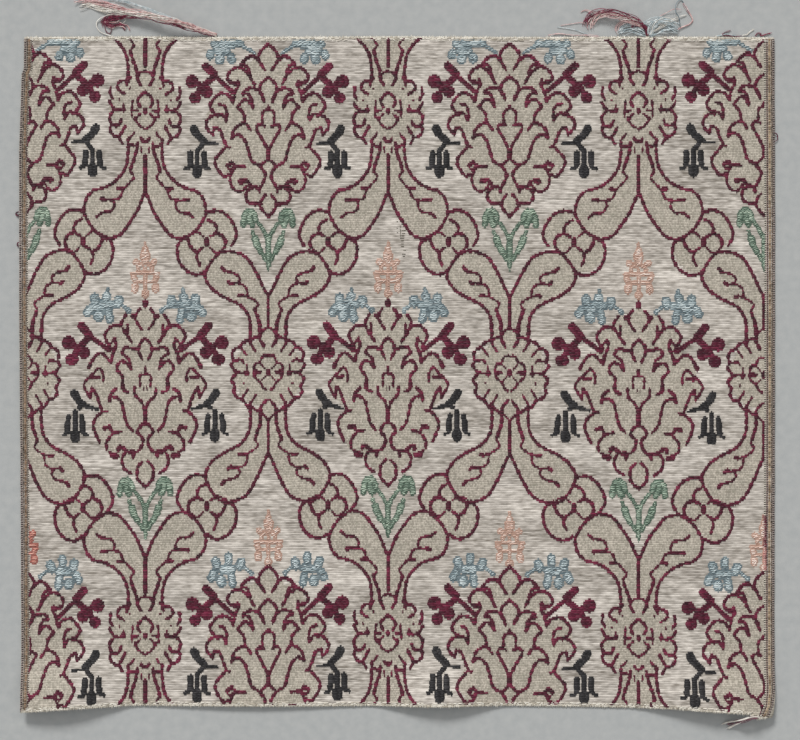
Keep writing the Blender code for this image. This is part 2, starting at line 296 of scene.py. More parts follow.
ROUNDEL_A = [
    (2.6, [(3.2, 18.5), (5.6, 23)]),
    (2.2, [(12.5, 24), (12.8, 18)]),
    (1.8, [(0, 28.7), (3.5, 27.3), (5.4, 25)]),
    (3.0, [(11, 23.5), (13.5, 21.5)]),
    (2.2, [(13.5, 21.8), (17.8, 20.6), (19.7, 16.8), (18.5, 14.6), (14.8, 12)]),
    (1.9, [(10.7, 16.1)]),
    (2.3, [(24.2, 16.8), (24.6, 11.6), (22.7, 8.2)]),
    (LINE, [(24.9, 6.3), (23.8, 3.7), (21.6, 1), (18.5, 0), (16, 0.4)]),
    (3.8, [(15.2, 0.4), (15.2, 1)]),
    (1.8, [(15.2, 1), (15.2, 4)]),
    (1.9, [(18.2, 7.7)]),
    (LINE, [(21.6, 0), (24.6, -3.5), (24.9, -6.5), (23.4, -10.2), (20, -10.8), (17.8, -9.5), (17, -6.8)]),
    (LINE, [(23.4, -10.2), (24.6, -12.5), (24.2, -15.5), (21.6, -18.5), (18.5, -19.2)]),
    (LINE, [(18.5, -19.2), (15.9, -23.7)]),
    (LINE, [(18.5, -19.2), (16.3, -15.5), (14, -11.3)]),
    (1.8, [(8, -15.8), (9.2, -17.7), (12.5, -21)]),
    (2.6, [(8, -25), (10, -24.8)]),
    (2.4, [(2.8, -19.6), (1.8, -21.3), (0, -21.9)]),
    (1.4, [(2.8, -26.4), (2.5, -29.7)]),
    (LINE, [(0, 13.4), (3.2, 10.8), (5.4, 7.1), (3.6, 2.8)]),
    (2.8, [(0, 12.8)]),
    (1.8, [(8.8, 7), (9.4, 1), (9.4, -4.2)]),
    (2.4, [(5.6, 0.3), (9.2, 0)]),
    (1.8, [(3.5, -2.2), (5, -3.8), (6.9, -5.5), (4.3, -10.2), (0, -13)]),
    (3.2, [(6.6, -5), (6.9, -6)]),
    (3.6, [(0, -0.6), (0, 0.6)]),
]
ROUNDEL_B = [
    (1.9, [(0, 11.8), (3.8, 11.6), (6, 7.1), (9.6, 5.5), (10.2, -2.2), (5.5, -7.4), (3.8, -11),
           (1.2, -12.4)]),
    (1.4, [(5.5, 6), (2.6, 2.8)]),
    (1.4, [(4.9, -6), (2.3, -3)]),
    (2.4, [(5.6, 0), (9.6, 0)]),
    (4.2, [(8.4, 0), (9.4, 0)]),
    (3.8, [(0, -1), (0, 1)]),
    (1.7, [(0, 32.5), (3.3, 30.2), (5.4, 27)]),
    (2.5, [(6.8, 37.5), (6, 27), (6, 24), (3, 18.3)]),
    (2.3, [(7.5, 25.8), (13, 23.5), (18, 21.4), (20.3, 18.3), (23.6, 16.8), (25.8, 13), (24.7, 8.2)]),
    (2.2, [(24.7, 8.2), (26.4, 5), (23, 0.5)]),
    (2.6, [(20.5, -0.2), (23, 0.2)]),
    (2.2, [(13.5, 37.5), (12.9, 23)]),
    (2.0, [(13.2, 21.5), (9.4, 15.4)]),
    (2.0, [(19.2, 17.2), (15.5, 12.5)]),
    (2.0, [(23, 8.2), (19.8, 9.3), (17.6, 7.4)]),
    (1.6, [(15.4, 5), (15.4, 1.6)]),
    (4.4, [(15.4, -0.6)]),
    (1.4, [(17.4, 0), (20, -0.2)]),
    (2.3, [(22.5, -0.5), (26, -5.2), (23.6, -9.9), (24.7, -13.8), (22, -18), (18.7, -19.2), (14.5, -24.6)]),
    (1.9, [(18.7, -18.7), (14.6, -12.2)]),
    (1.9, [(17.6, -7.7)]),
    (1.9, [(12.4, -22), (8.8, -16)]),
    (2.3, [(12.2, -24.7), (7.2, -28), (5.6, -26.4)]),
    (2.2, [(1.2, -19.8), (5.5, -25.3), (5.8, -31)]),
    (1.9, [(5, -29), (0, -34)]),
    (3.2, [(0, -34)]),
]
LEAF_A = [
    (LINE, [(12, -20), (11.8, -26), (12.5, -34), (14, -40), (18, -46), (23.5, -51), (30, -54), (36, -55.5)]),
    (LINE, [(36, -55.5), (41, -61), (43, -70), (41, -75.5), (36, -83), (27, -89.5)]),
    (LINE, [(27, -89.5), (18, -86.5), (11.5, -78.5), (6, -70), (1, -58)]),
    (2.9, [(0, -31), (0, -58)]),
]
LEAF_B = [
    (LINE, [(12.7, -22), (12.8, -37), (15, -45), (21, -52), (31.5, -57.5), (39.5, -63)]),
    (LINE, [(39.5, -63), (43.8, -69.5), (44.8, -75), (41.5, -83), (36, -90.5)]),
    (LINE, [(36, -90.5), (29.5, -92.7), (23, -91.6), (15.2, -87.2), (8.6, -76.2), (4.2, -66.3),
            (0.5, -58.5)]),
    (2.6, [(0, -34), (0, -59)]),
]
SPRIG_A = [
    (2.5, [(5.4, -22.5), (6.5, -29.5), (9, -36.5), (10.5, -42)]),
    (1.8, [(10.5, -42), (8, -46), (11, -50), (14.7, -54)]),
    (3.0, [(15.5, -54.3), (19, -54)]),
    (1.9, [(15.8, -56), (18, -60.5), (22.5, -62), (28, -62)]),
    (3.0, [(27.5, -62), (30.5, -61.6)]),
    (1.9, [(22.5, -62), (21.5, -65.5), (24, -70), (30.5, -71)]),
    (2.4, [(30.5, -71), (34, -74)]),
]
SPRIG_B = [
    (2.5, [(5.4, -27), (6, -37), (8, -43), (9.5, -48)]),
    (1.8, [(9.5, -48), (7.5, -52.5), (13, -57), (19, -59)]),
    (2.8, [(18.5, -59), (21, -58.5)]),
    (1.8, [(14.5, -58), (16, -65), (21.5, -68), (27, -67.5)]),
    (3.0, [(26.5, -67.5), (28.5, -69)]),
    (1.9, [(21.5, -68), (20.5, -72), (24, -75.5), (31.5, -77.5)]),
    (3.0, [(31, -77.5), (33, -80)]),
]
KNOT = [
    (4.2, [(0, -1.7), (0, 1.7)]),
    (LINE, [(15.9, 3.4), (19.8, -0.5), (21, -6), (19.8, -13.4), (15.4, -20), (8.8, -23.4), (4, -22.8),
            (1, -20.6)]),
    (2.3, [(-0.8, 15.8), (-5.2, 13.2), (-7, 9), (-5.6, 5.8), (-2.6, 3.9)]),
    (2.5, [(-6.6, 6.3), (-11, 4.3), (-13.3, 0), (-12.6, -3.8)]),
    (1.7, [(-12.6, -3.8), (-9, -7), (-6, -7.6), (-2.4, -4)]),
    (2.5, [(13.8, 4.4), (12.8, -0.5), (10.4, -5), (6.6, -7.4)]),
    (1.7, [(12, 5.5), (6.8, 7), (2.4, 3.8)]),
    (2.2, [(2.4, -4), (6, -6.8), (7, -11.5), (5, -16.5)]),
    (LINE, [(-0.5, 21.4), (-6, 22.4), (-11.5, 21.2), (-16.4, 16.6), (-20.2, 9.5), (-20.8, 3), (-17.5, -2.7)]),
]
BLUE_A_TOP = [
    (6.0, [(20, 61.5), (26, 61), (33, 61)]),
    (6.0, [(38.5, 61), (34, 57)]),
    (6.2, [(29.5, 56), (36, 56)]),
    (6.0, [(41, 54.5), (41.5, 52.5)]),
    (6.4, [(26.5, 51.5), (26, 50)]),
    (6.8, [(34.3, 51), (34.5, 49.5)]),
    (2.2, [(9.5, 54.5), (13.5, 57), (18.5, 60)]),
]
BLUE_A = [
    (6.2, [(37.3, 64.5), (36.5, 61.5)]),
    (5.6, [(28.3, 68), (28.5, 64.5)]),
    (6.2, [(19.3, 64), (20.5, 61)]),
    (6.4, [(32.5, 58.5), (26, 59)]),
    (6.0, [(38.8, 56), (40.4, 52.5)]),
    (7.0, [(33.4, 51), (33.2, 49.5)]),
    (5.4, [(26.2, 54), (25.4, 48.5)]),
    (3.4, [(12, 56)]),
    (2.2, [(12, 56), (17, 60)]),
]
BLUE_B = [
    (2.4, [(26.5, 73.5), (27, 70)]),
    (6.2, [(27, 68.5), (27.5, 67)]),
    (6.6, [(18.6, 66), (18.8, 63.5)]),
    (6.4, [(35.5, 67.5), (35.3, 64)]),
    (6.2, [(23.5, 62.5), (30, 63.5)]),
    (6.0, [(31, 60), (36, 61)]),
    (6.2, [(38.6, 59.5), (40.4, 56.8)]),
    (7.4, [(32.7, 55.5), (32.6, 54)]),
    (5.4, [(26, 58.5), (24.7, 52)]),
    (3.6, [(11.6, 58.4)]),
    (2.2, [(11.6, 58.4), (16, 62)]),
]
PEACH_TREE_A_LOWER = 6.6
PEACH_TREE = [
    (2.4, [(0, 107), (0, 104)]),
    (4.6, [(0, 102.5), (0, 101)]),
    (7.4, [(0, 98.6), (0, 96.6)]),
    (6.0, [(0, 95), (0, 93.6)]),
    (4.8, [(6.6, 93.2), (5.6, 92.4)]),
    (3.0, [(2.4, 91), (5, 89.6), (4.8, 87)]),
    (2.6, [(0, 89), (0, 87.4)]),
    (3.2, [(0, 85.2), (9.2, 85)]),
    (4.6, [(8, 82.4), (7.2, 80.4)]),
    (2.4, [(7, 79.4), (1.5, 79.4)]),
    (3.0, [(0, 84), (0, 73)]),
    (5.4, [(7.2, 76), (7.3, 73.6)]),
    (6.0, [(0, 70.8), (0, 70.2)]),
    (3.0, [(0, 68.4)]),
]
GREEN_A_HIGHER = 4.0
GREEN_SPRIG = [
    (4.6, [(12.5, -62.5), (10.2, -65), (9.2, -69)]),
    (4.8, [(13.6, -63), (13.2, -69), (11.4, -72.6)]),
    (4.6, [(15, -62.8), (17, -66), (17.8, -72.6)]),
    (3.0, [(7, -71.5), (4.5, -75), (2.2, -79), (1, -82)]),
    (4.4, [(0, -81), (0, -97)]),
    (3.6, [(0, -97), (0, -102)]),
    (1.8, [(0, -102), (0, -105)]),
    (2.8, [(11.2, -77.5), (10.4, -80)]),
    (5.4, [(9.4, -82.5), (8, -87)]),
    (4.6, [(7.4, -88), (5.4, -92)]),
    (3.0, [(4, -94), (2, -98)]),
]

# Where the warmer fill is woven, from the motif's middle. Palmettes show their right half
PALMETTE_A_SHAPE = [
    (0, 61.5), (7, 51), (18.5, 46.5), (24.5, 43), (28, 37), (25, 31), (28.5, 24), (35.5, 25.5), (41, 17.5),
    (44.5, 5), (38, 1), (32, -9), (37, -21), (37, -25), (31, -33), (26.5, -39.5), (21, -45), (16, -47),
    (11, -54), (5.5, -55.5), (0, -62.5),
]
PALMETTE_B_SHAPE = [
    (0, 62), (7, 55), (14, 55.5), (17, 48), (25.5, 45.5), (28.5, 42), (26, 32), (31, 27.5), (39, 23),
    (40.5, 18), (38, 14), (43.5, 4.5), (38.5, -4.5), (30.5, -12.5), (37, -22), (36.5, -28), (32.5, -35),
    (27.5, -41.5), (21.5, -45.5), (16, -49.5), (10, -55.5), (0, -66),
]
LEAF_A_SHAPE = [
    (0, -22), (12, -22), (12.5, -35), (14.5, -41), (20, -48), (29, -54), (36, -55.5), (41, -61), (43, -69),
    (41, -75.5), (36, -83), (27, -89.5), (18, -86.5), (11.5, -78.5), (6, -70), (0, -56),
]
LEAF_B_SHAPE = [
    (0, -25), (13, -25), (13.5, -39), (17, -48.5), (24, -55), (32.5, -58), (39.5, -63), (44, -70.5),
    (45, -77.5), (40.5, -85), (35.5, -91.5), (26, -92.5), (16, -87), (8.5, -77.5), (4, -66), (0, -57.5),
]
KNOT_SHAPE = [
    (-0.5, 22), (-11.5, 21.4), (-17, 15.5), (-20.9, 8), (-20.3, 2), (-17.5, -2.7), (-8, -8), (1, -21),
    (9.3, -24), (16, -19.8), (20.3, -13), (21.4, -5.5), (19.8, 0), (15.9, 3.3), (8, 8),
]
ROUNDEL_RADIUS = 25.0
MOTIF_REACH = (70, 110)

# Ground: how far its wefts wander up and down, how far apart two rows lie in the noise that colours them, and
# the colours of the ground and of the motifs' fill
WEFT_WANDER = 4.0
ROWS_APART = 7.31
GROUND_SHADES = ("847b70", "ece3d8")
GROUND_GAPS = "4f483f"
FILL_SHADES = ("a0978a", "d3c9b9")
FILL_GAPS = "67634f"
FILL_FLECKS = "9c9788"
FILL_SPECKS = "858673"
FILL_ROW_EDGES = "7a7264"
GRAIN_SHADE = "7f7669"

# Selvedges: woven columns of beads and ribs, and the patch and loops beside them
BEAD_PITCH = 0.8
RIB_PITCH = 1.2
BEAD_HALF = 0.42
RIB_HALF = 0.6
SELVEDGE_COLUMNS = [  # side, column, distance in from the cloth's edge, width
    ("left", "edge_beads", 0.95, 1.9),
    ("left", "brown_ribs", 2.4, 1.2),
    ("left", "dull_stripe", 3.8, 1.9),
    ("left", "inner_ribs", 5.05, 0.9),
    ("left", "inner_beads", 5.9, 1.1),
    ("right", "edge_beads", 0.8, 1.7),
    ("right", "brown_ribs", 2.1, 1.3),
    ("right", "stripe", 3.75, 2.0),
    ("right", "plum_beads", 5.45, 1.5),
    ("right", "inner_beads", 7.0, 1.6),
]
CORAL_PATCH = (-141.0, -102.0, 7.2, 3.0)  # lower end, upper end, distance in from the cloth's edge, width
NUBS = [
    [(-271, 115.6, 1.2), (-273.4, 115.2, 1.0), (-274, 113.6, 0.7), (-271.2, 112.4, 1.0)],
    [(-271, 94, 1.2), (-272.9, 93.4, 1.0), (-273.1, 91.4, 0.7), (-271.2, 90.6, 1.0)],
    [(269.8, 172.4, 1.2), (271.8, 171.4, 1.1), (272.4, 169, 0.8), (271.6, 166.8, 0.7), (269.8, 166.2, 1.0)],
]

# Cut edges: the last wefts and the frayed warp ends
EDGE_WEFTS = [(0.55, 0.5), (1.5, 0.45), (2.5, 0.35)]  # how far in from the edge, and half width
WEFTS_LEFT = 0.85
HAIR_PITCH = 0.42
HAIR_RADIUS = 0.15

# A worn place with dark mending stitches: left end, right end and height up the cloth. A run of small ones is
# beside them: its middle, lower end and upper end
MENDING = [(2.2, 5.0, 106.7), (2.4, 5.6, 102.3), (2.4, 5.4, 100.4), (2.2, 4.8, 98.5), (2.0, 4.6, 96.9),
           (1.9, 4.2, 95.0), (2.0, 4.4, 92.7), (2.2, 4.4, 90.8), (3.4, 6.0, 87.9), (2.6, 5.6, 85.3),
           (3.2, 5.2, 83.7), (-1.2, 0, 108.8), (-1.3, 0.1, 104.0), (-0.8, 0.2, 100.6)]
MENDING_RUN = (1.8, 96.6, 106.4)
MENDING_PITCH = 1.1

# Loose silk. Each row is a silk, how many strands, how far they spread, and the route of their middle
STRAND_RADIUS = 0.2
STRAND_SIDES = 6
STRAND_TIP = 0.45
TWIST_LENGTH = 11
STRANDS = {
    "skein_top_left": [
        ("pink", 16, 2.0, [(-130, 242.6, 0.8), (-142, 246, 3.6), (-160, 251.5, 6.4), (-181, 256.5, 5.4),
                          (-195.5, 260, 3.6), (-213, 265, 0.8), (-221, 267, 0.3), (-233, 266.5, 0.3)]),
        ("cream", 14, 2.1, [(-130, 242.4, 0.8), (-142, 246, 3.2), (-163.5, 252, 6.4), (-181, 256.5, 5.6),
                           (-199, 258.6, 3.2), (-210, 260, 0.9), (-221, 264, 0.3), (-229, 262.5, 0.3)]),
        ("blue", 3, 0.8, [(-142, 246, 3.4), (-160, 252.5, 6.6), (-173.5, 258.5, 6.0), (-184.5, 262.5, 4.0),
                          (-195.5, 266.5, 1.2), (-209.5, 267, 0.3)]),
        ("crimson", 12, 1.5, [(-131.5, 242.2, 0.8), (-142, 244.6, 2.6), (-163.5, 250.5, 5.6),
                             (-179, 254.5, 4.8), (-195, 256, 3.0), (-206, 255.6, 1.4), (-211.5, 252.5, 0.5),
                             (-212.5, 248, 0.4)]),
        ("crimson", 9, 2.0, [(-195, 255.5, 2.4), (-205, 254, 1.0), (-209.5, 251, 0.5), (-206, 249, 0.5),
                             (-199, 250, 0.6), (-193.5, 246.5, 0.4)]),
        ("cream", 1, 0.1, [(-152, 246.5, 3.6), (-163.5, 249.5, 4.6), (-173.5, 251, 4.0),
                           (-184.5, 253.5, 3.6)]),
        ("cream", 2, 0.2, [(-189, 258, 4.4), (-199.5, 257, 2.6), (-208, 256.5, 1.6), (-215, 253.5, 0.9),
                           (-216.5, 249.5, 0.5), (-214, 245, 0.5), (-208, 242.6, 0.6), (-201.5, 241.2, 1.2)]),
        ("plum", 2, 0.5, [(-204.5, 253.5, 1.0), (-209, 252.5, 0.8), (-210.5, 248.5, 0.5), (-209, 244.5, 0.4),
                          (-206.5, 243.8, 0.4), (-205.5, 248, 0.6), (-207, 251.5, 0.9)]),
        ("pink", 2, 0.4, [(-211, 252, 0.8), (-204.5, 251.5, 0.9), (-200.5, 252, 0.8), (-197.5, 250.5, 0.7),
                          (-194, 249, 0.5), (-192.5, 245.5, 0.4)]),
        ("pink", 2, 0.4, [(-208, 248.5, 0.6), (-205, 247.5, 0.5), (-202, 249, 0.6), (-197.5, 248.5, 0.6),
                          (-194.5, 245.5, 0.4)]),
        ("cream", 1, 0.1, [(-202.5, 251.5, 0.9), (-198.5, 254, 1.8), (-196, 254.5, 2.0), (-195, 253, 1.6),
                           (-197.5, 251, 0.9)]),
    ],
    "skein_top_right_red": [
        ("crimson", 10, 2.2, [(178.5, 242.4, 0.9), (178, 246.5, 1.8), (171, 252.5, 3.6), (159, 257, 4.4),
                             (148, 259, 3.6), (139.5, 257, 1.8), (135, 253, 0.6), (134.5, 247.5, 0.4)]),
        ("pink", 13, 2.4, [(174.5, 249, 2.4), (168, 252, 3.4), (157, 255.5, 3.8), (147.5, 256.5, 3.0),
                          (140.5, 253.5, 1.2), (138.5, 249.5, 0.5), (139.5, 245.5, 0.4)]),
        ("cream", 6, 2.4, [(175, 248.5, 2.2), (168, 252.6, 3.4), (157, 256.3, 3.8), (147, 257.2, 3.0),
                           (139.5, 254, 1.2), (137, 249, 0.5)]),
        ("pink", 2, 0.5, [(145, 258, 2.6), (139.5, 259, 1.4), (134.5, 260.5, 0.5), (129.5, 258.5, 0.3)]),
        ("pink", 6, 1.1, [(176.5, 247, 1.6), (171, 250, 2.2), (164.5, 252.3, 2.2), (160, 251, 1.2),
                          (157, 247.5, 0.5), (158, 243, 0.5)]),
        ("blue", 7, 1.4, [(176.5, 245.5, 1.4), (171, 248.5, 1.8), (165, 250, 1.4), (160.5, 247.5, 0.7),
                          (158.5, 242.5, 0.6)]),
        ("crimson", 9, 1.3, [(167, 248.5, 1.8), (172.5, 250, 2.4), (176.5, 248.5, 2.0), (178.6, 245, 1.2),
                             (178.6, 241.8, 1.0)]),
        ("pink", 2, 0.6, [(107.5, 242.4, 0.8), (116.5, 243.5, 0.4), (128.5, 242.4, 0.5), (136, 242.4, 0.5),
                          (145.5, 241.2, 1.0)]),
        ("blue", 1, 0.2, [(114, 248.5, 0.3), (126, 246.5, 0.3), (134.5, 243.4, 0.4), (139.5, 241.2, 1.0)]),
        ("pink", 1, 0.2, [(116.5, 249.5, 0.3), (123.5, 250.5, 0.3), (131, 251.5, 0.3), (136, 250.2, 0.4)]),
    ],
    "skein_top_right_pale": [
        ("slate", 2, 0.25, [(202.5, 247.5, 0.5), (201.5, 254.5, 2.6), (199, 258.5, 3.0), (198.7, 262.5, 2.2),
                            (200.5, 266.5, 0.9), (203.5, 267.6, 0.4), (206, 263, 0.3), (210, 256, 0.3)]),
        ("blue", 6, 2.4, [(172, 249.5, 1.6), (179, 251.5, 2.2), (187, 252.5, 2.2), (194, 250.5, 1.6),
                          (199.5, 248, 1.0)]),
        ("pink", 3, 0.8, [(204.5, 265.5, 0.4), (207.5, 261, 0.4), (210.5, 256.5, 0.4), (211.5, 253, 0.4),
                          (209, 250.4, 0.4), (204.5, 248.5, 0.4), (198.5, 245, 0.4)]),
        ("pink", 1, 0.2, [(187, 255.5, 0.5), (192.5, 258.5, 0.6), (198, 261, 1.8), (204.5, 261, 0.5)]),
        ("cream", 2, 0.35, [(179.8, 242.4, 1.0), (184.5, 246, 1.8), (191, 249.5, 2.2), (197, 253.5, 1.6),
                            (203, 256, 0.8), (208.5, 257, 0.3)]),
        ("cream", 5, 2.6, [(180, 242.4, 1.0), (183, 247.5, 1.8), (189.5, 251, 2.2), (195, 252.4, 1.6),
                           (201, 250, 0.8)]),
        ("cream", 2, 0.5, [(179.8, 242.2, 1.0), (186.5, 246.5, 1.6), (191.5, 249, 1.8), (196.5, 252, 1.4),
                           (202, 254.6, 0.7)]),
        ("blue", 12, 3.2, [(179.8, 242.2, 1.2), (181, 246.5, 2.0), (184.5, 250, 2.4), (189.5, 252.2, 2.2),
                           (194, 251.5, 1.8), (199.5, 248.5, 1.2), (202, 246.5, 0.8)]),
        ("blue", 8, 2.4, [(179.8, 242, 1.0), (184.5, 244.8, 1.4), (189.5, 246.2, 1.6), (197, 245.6, 1.2),
                          (201.5, 246.5, 0.6)]),
        ("blue", 8, 2.4, [(178, 242.4, 1.0), (172.5, 244.8, 1.5), (166.5, 246, 1.5), (161, 244.8, 0.9),
                          (157.5, 243, 0.6)]),
    ],
    "wisp_top_right": [
        ("plum", 3, 0.4, [(247, 241.8, 1.0), (240, 241.8, 0.5), (232.5, 242.6, 0.4), (235.5, 245, 0.4),
                          (239, 246, 0.3)]),
        ("blue", 2, 0.35, [(228.5, 242, 0.6), (231, 242.4, 0.4), (235.5, 243.5, 0.4), (239, 242.5, 0.4),
                           (243, 241.8, 1.0)]),
        ("cream", 2, 0.3, [(247, 241.6, 1.0), (247.5, 242.5, 0.5), (250.5, 243, 0.4), (252.5, 245, 0.3),
                           (255.5, 246.8, 0.3)]),
        ("crimson", 3, 0.5, [(256, 241.6, 1.0), (258, 244, 0.7), (260.5, 243.5, 0.5), (260, 242, 0.6),
                             (264, 243, 0.4), (268.5, 244, 0.3)]),
    ],
    "tail_bottom_right": [
        ("cream", 5, 0.5, [(258, -245.4, 8.6), (252, -245.6, 8.4), (246, -247.4, 7.2), (239, -249.5, 3.6),
                           (235, -251, 1.0), (231.5, -252.5, 0.3)]),
        ("cream", 4, 0.5, [(256, -246, 8.4), (250, -247.2, 7.8), (245, -250, 5.6), (240, -253, 1.6),
                           (235.5, -255.5, 0.3)]),
        ("plum", 9, 1.5, [(257, -245.8, 8.5), (251, -246.2, 8.2), (245.5, -248.5, 6.4), (240, -250.6, 2.8),
                          (235.5, -252.6, 0.4)]),
    ],
}


# Surface of the cloth


def along(table, position):
    """The table's second value at each position, on straight lines between its rows."""
    table = np.array(table, float)
    return np.interp(position, table[:, 0], table[:, 1])


def ease(share):
    """Goes smoothly from 0 to 1 while share does, and stays there outside."""
    share = np.clip(share, 0.0, 1.0)
    return share * share * (3.0 - 2.0 * share)


def underside(x, y):
    """How far the cloth's underside stands off the floor."""
    above_edge = y - along(BOTTOM_EDGE, x)
    height = np.zeros(np.shape(x))
    for middle, top, half_width, reach in BOTTOM_WAVES:
        height = height + top * ease(1.0 - abs(x - middle) / half_width) * ease(1.0 - above_edge / reach)
    return height


def top_side(x, y):
    """Height of the cloth's upper face: its soft puckers, and a thin rim at the two cut edges."""
    height = underside(x, y) + CLOTH_THICKNESS
    to_edge = np.minimum(y - along(BOTTOM_EDGE, x), along(TOP_EDGE, x) - y)
    for size, length, direction, phase in PUCKERS:
        angle = math.radians(direction)
        wave = np.sin(2 * math.pi * (x * math.cos(angle) + y * math.sin(angle)) / length + phase)
        height = height + size * wave * ease(to_edge / PUCKERS_START)
    return height - EDGE_THIN * (1.0 - ease(to_edge / EDGE_TAPER))


def cloth_xy(across, up):
    """The points at these shares of the cloth's width and height."""
    level_y = (up - 0.5) * MIDDLE_HEIGHT
    left = along(LEFT_EDGE, level_y)
    x = left + across * (along(RIGHT_EDGE, level_y) - left)
    bottom = along(BOTTOM_EDGE, x)
    return x, bottom + up * (along(TOP_EDGE, x) - bottom)


def pulled_up(repeats, y):
    """How far the pattern is pulled up the cloth there."""
    heights = [height for height, _ in PULLED_UP]
    rows = [np.interp(repeats, range(-3, 4), row) for _, row in PULLED_UP]
    pulled = rows[0]
    for upper, lower, above, below in zip(heights, heights[1:], rows, rows[1:]):
        share = np.clip((upper - y) / (upper - lower), 0, 1)
        pulled = np.where(y < upper, above + (below - above) * share, pulled)
    return pulled


def woven(points):
    """Where the pattern's points came out on the cloth."""
    repeats = points[:, 0] / HALF_REPEAT
    return np.stack((along(WOVEN_X, repeats), points[:, 1] + pulled_up(repeats, points[:, 1])), 1)


def in_pattern(x, y):
    """The pattern's x and y at a point of the cloth."""
    repeats = np.interp(x, [row[1] for row in WOVEN_X], [row[0] for row in WOVEN_X])
    return repeats * HALF_REPEAT, y - pulled_up(repeats, y)


def inside(shape, x, y):
    """Whether each point lies in the closed shape."""
    found = np.zeros(np.shape(x), bool)
    for (ax, ay), (bx, by) in zip(shape, shape[1:] + shape[:1]):
        if ay == by:
            continue
        crosses = (ay > y) != (by > y)
        found ^= crosses & (x < (bx - ax) * (y - ay) / (by - ay) + ax)
    return found


# Objects and meshes


def new_mesh(name, points, faces, material):
    """A mesh object from points in millimetres, riding on the only body."""
    mesh = bpy.data.meshes.new(name)
    mesh.from_pydata((np.asarray(points) * MM).tolist(), [], np.asarray(faces).tolist())
    mesh.materials.append(material)
    mesh.shade_smooth()
    made = bpy.data.objects.new(name, mesh)
    bpy.context.scene.collection.objects.link(made)
    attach(made, "root")
    return made


def set_attribute(made, name, values):
    """A number for each of the mesh's points, which its material reads."""
    layer = made.data.attributes.new(name, "FLOAT", "POINT")
    layer.data.foreach_set("value", np.ascontiguousarray(values, np.float32))


def set_flat_map(made, points):
    """A UV map seen from above, which fills the map."""
    seen = np.asarray(points)[:, :2]
    corner = seen.min(0)
    spots = (seen - corner) / (seen.max(0) - corner)
    loops = np.empty(len(made.data.loops), np.int32)
    made.data.loops.foreach_get("vertex_index", loops)
    layer = made.data.uv_layers.new(name="OFBake")
    layer.data.foreach_set("uv", spots[loops].astype(np.float32).ravel())


# Node helpers


def add_node(tree, kind, inputs=None, **settings):
    """A node with these settings. An input is a plain value, or another node's output to link."""
    made = tree.nodes.new(kind)
    for key, value in settings.items():
        setattr(made, key, value)
    for key, value in (inputs or {}).items():
        if isinstance(value, bpy.types.NodeSocket):
            tree.links.new(value, made.inputs[key])
        else:
            made.inputs[key].default_value = value
    return made


def new_material(name, roughness, sheen, specular=0.35):
    """A Principled material with these plain settings, its tree and its shader."""
    made = bpy.data.materials.new(name)
    made.use_nodes = True
    tree = made.node_tree
    shader = tree.nodes["Principled BSDF"]
    shader.inputs["Roughness"].default_value = roughness
    shader.inputs["Sheen Weight"].default_value = sheen
    shader.inputs["Sheen Roughness"].default_value = 0.4
    shader.inputs["Specular IOR Level"].default_value = specular
    return made, tree, shader


def place_of(tree):
    """The point's place in the object's own frame, in metres."""
    return add_node(tree, "ShaderNodeTexCoord").outputs["Object"]


def attribute(tree, name):
    """The number that the mesh has at the point under this name."""
    return add_node(tree, "ShaderNodeAttribute", attribute_name=name).outputs["Fac"]


def noise(tree, spot, detail, scale=1.0):
    made = add_node(tree, "ShaderNodeTexNoise", {"Vector": spot, "Scale": scale, "Detail": detail})
    return made.outputs["Fac"]


def stretched_noise(tree, per_metre_x, per_metre_y, detail=2.0, shift=0.0):
    """Noise with this many features to the metre across and up the cloth, and another one for each shift."""
    inputs = {
        "Vector": place_of(tree),
        "Scale": (per_metre_x, per_metre_y, 0.0),
        "Location": (shift, shift, shift),
    }
    return noise(tree, add_node(tree, "ShaderNodeMapping", inputs).outputs[0], detail)


def remap(tree, value, low, high, to_low=0.0, to_high=1.0):
    """The value carried from one range to another, and held at its ends."""
    inputs = {"Value": value, "From Min": low, "From Max": high, "To Min": to_low, "To Max": to_high}
    return add_node(tree, "ShaderNodeMapRange", inputs).outputs["Result"]


def mix(tree, share, first, second):
    """Mixed colour, from the first at share 0 to the second at 1. Each is a node's output or a web colour."""
    first, second = (srgb(colour) if isinstance(colour, str) else colour for colour in (first, second))
    return add_node(tree, "ShaderNodeMix", {0: share, 6: first, 7: second}, data_type="RGBA").outputs[2]


def math_node(tree, operation, first, second):
    return add_node(tree, "ShaderNodeMath", {0: first, 1: second}, operation=operation).outputs[0]


def paint(tree, shader, colour):
    tree.links.new(colour, shader.inputs["Base Color"])


def bump(tree, shader, height, distance, strength):
    made = add_node(tree, "ShaderNodeBump", {"Height": height, "Distance": distance, "Strength": strength})
    tree.links.new(made.outputs["Normal"], shader.inputs["Normal"])


def srgb(code):
    """Linear colour from a web colour."""
    parts = [int(code[i : i + 2], 16) / 255 for i in (0, 2, 4)]
    return (*[p / 12.92 if p <= 0.04045 else ((p + 0.055) / 1.055) ** 2.4 for p in parts], 1.0)


# Materials


def weft_rows(tree):
    """Place on the cloth by pattern wefts: x, the row's number, and a ridge from 0 at its edges to 1."""
    split = add_node(tree, "ShaderNodeSeparateXYZ", {0: place_of(tree)})
    wander = stretched_noise(tree, 9, 25, 1.0, 21.0)
    y = math_node(tree, "ADD", split.outputs["Y"], remap(tree, wander, 0.0, 1.0, 0.0, WEFT_WANDER * MM))
    rows = math_node(tree, "DIVIDE", y, ROW * MM)
    number = math_node(tree, "FLOOR", rows, 0.0)
    ridge = math_node(tree, "PINGPONG", rows, 0.5)
    return split.outputs["X"], number, remap(tree, ridge, 0.0, 0.5)


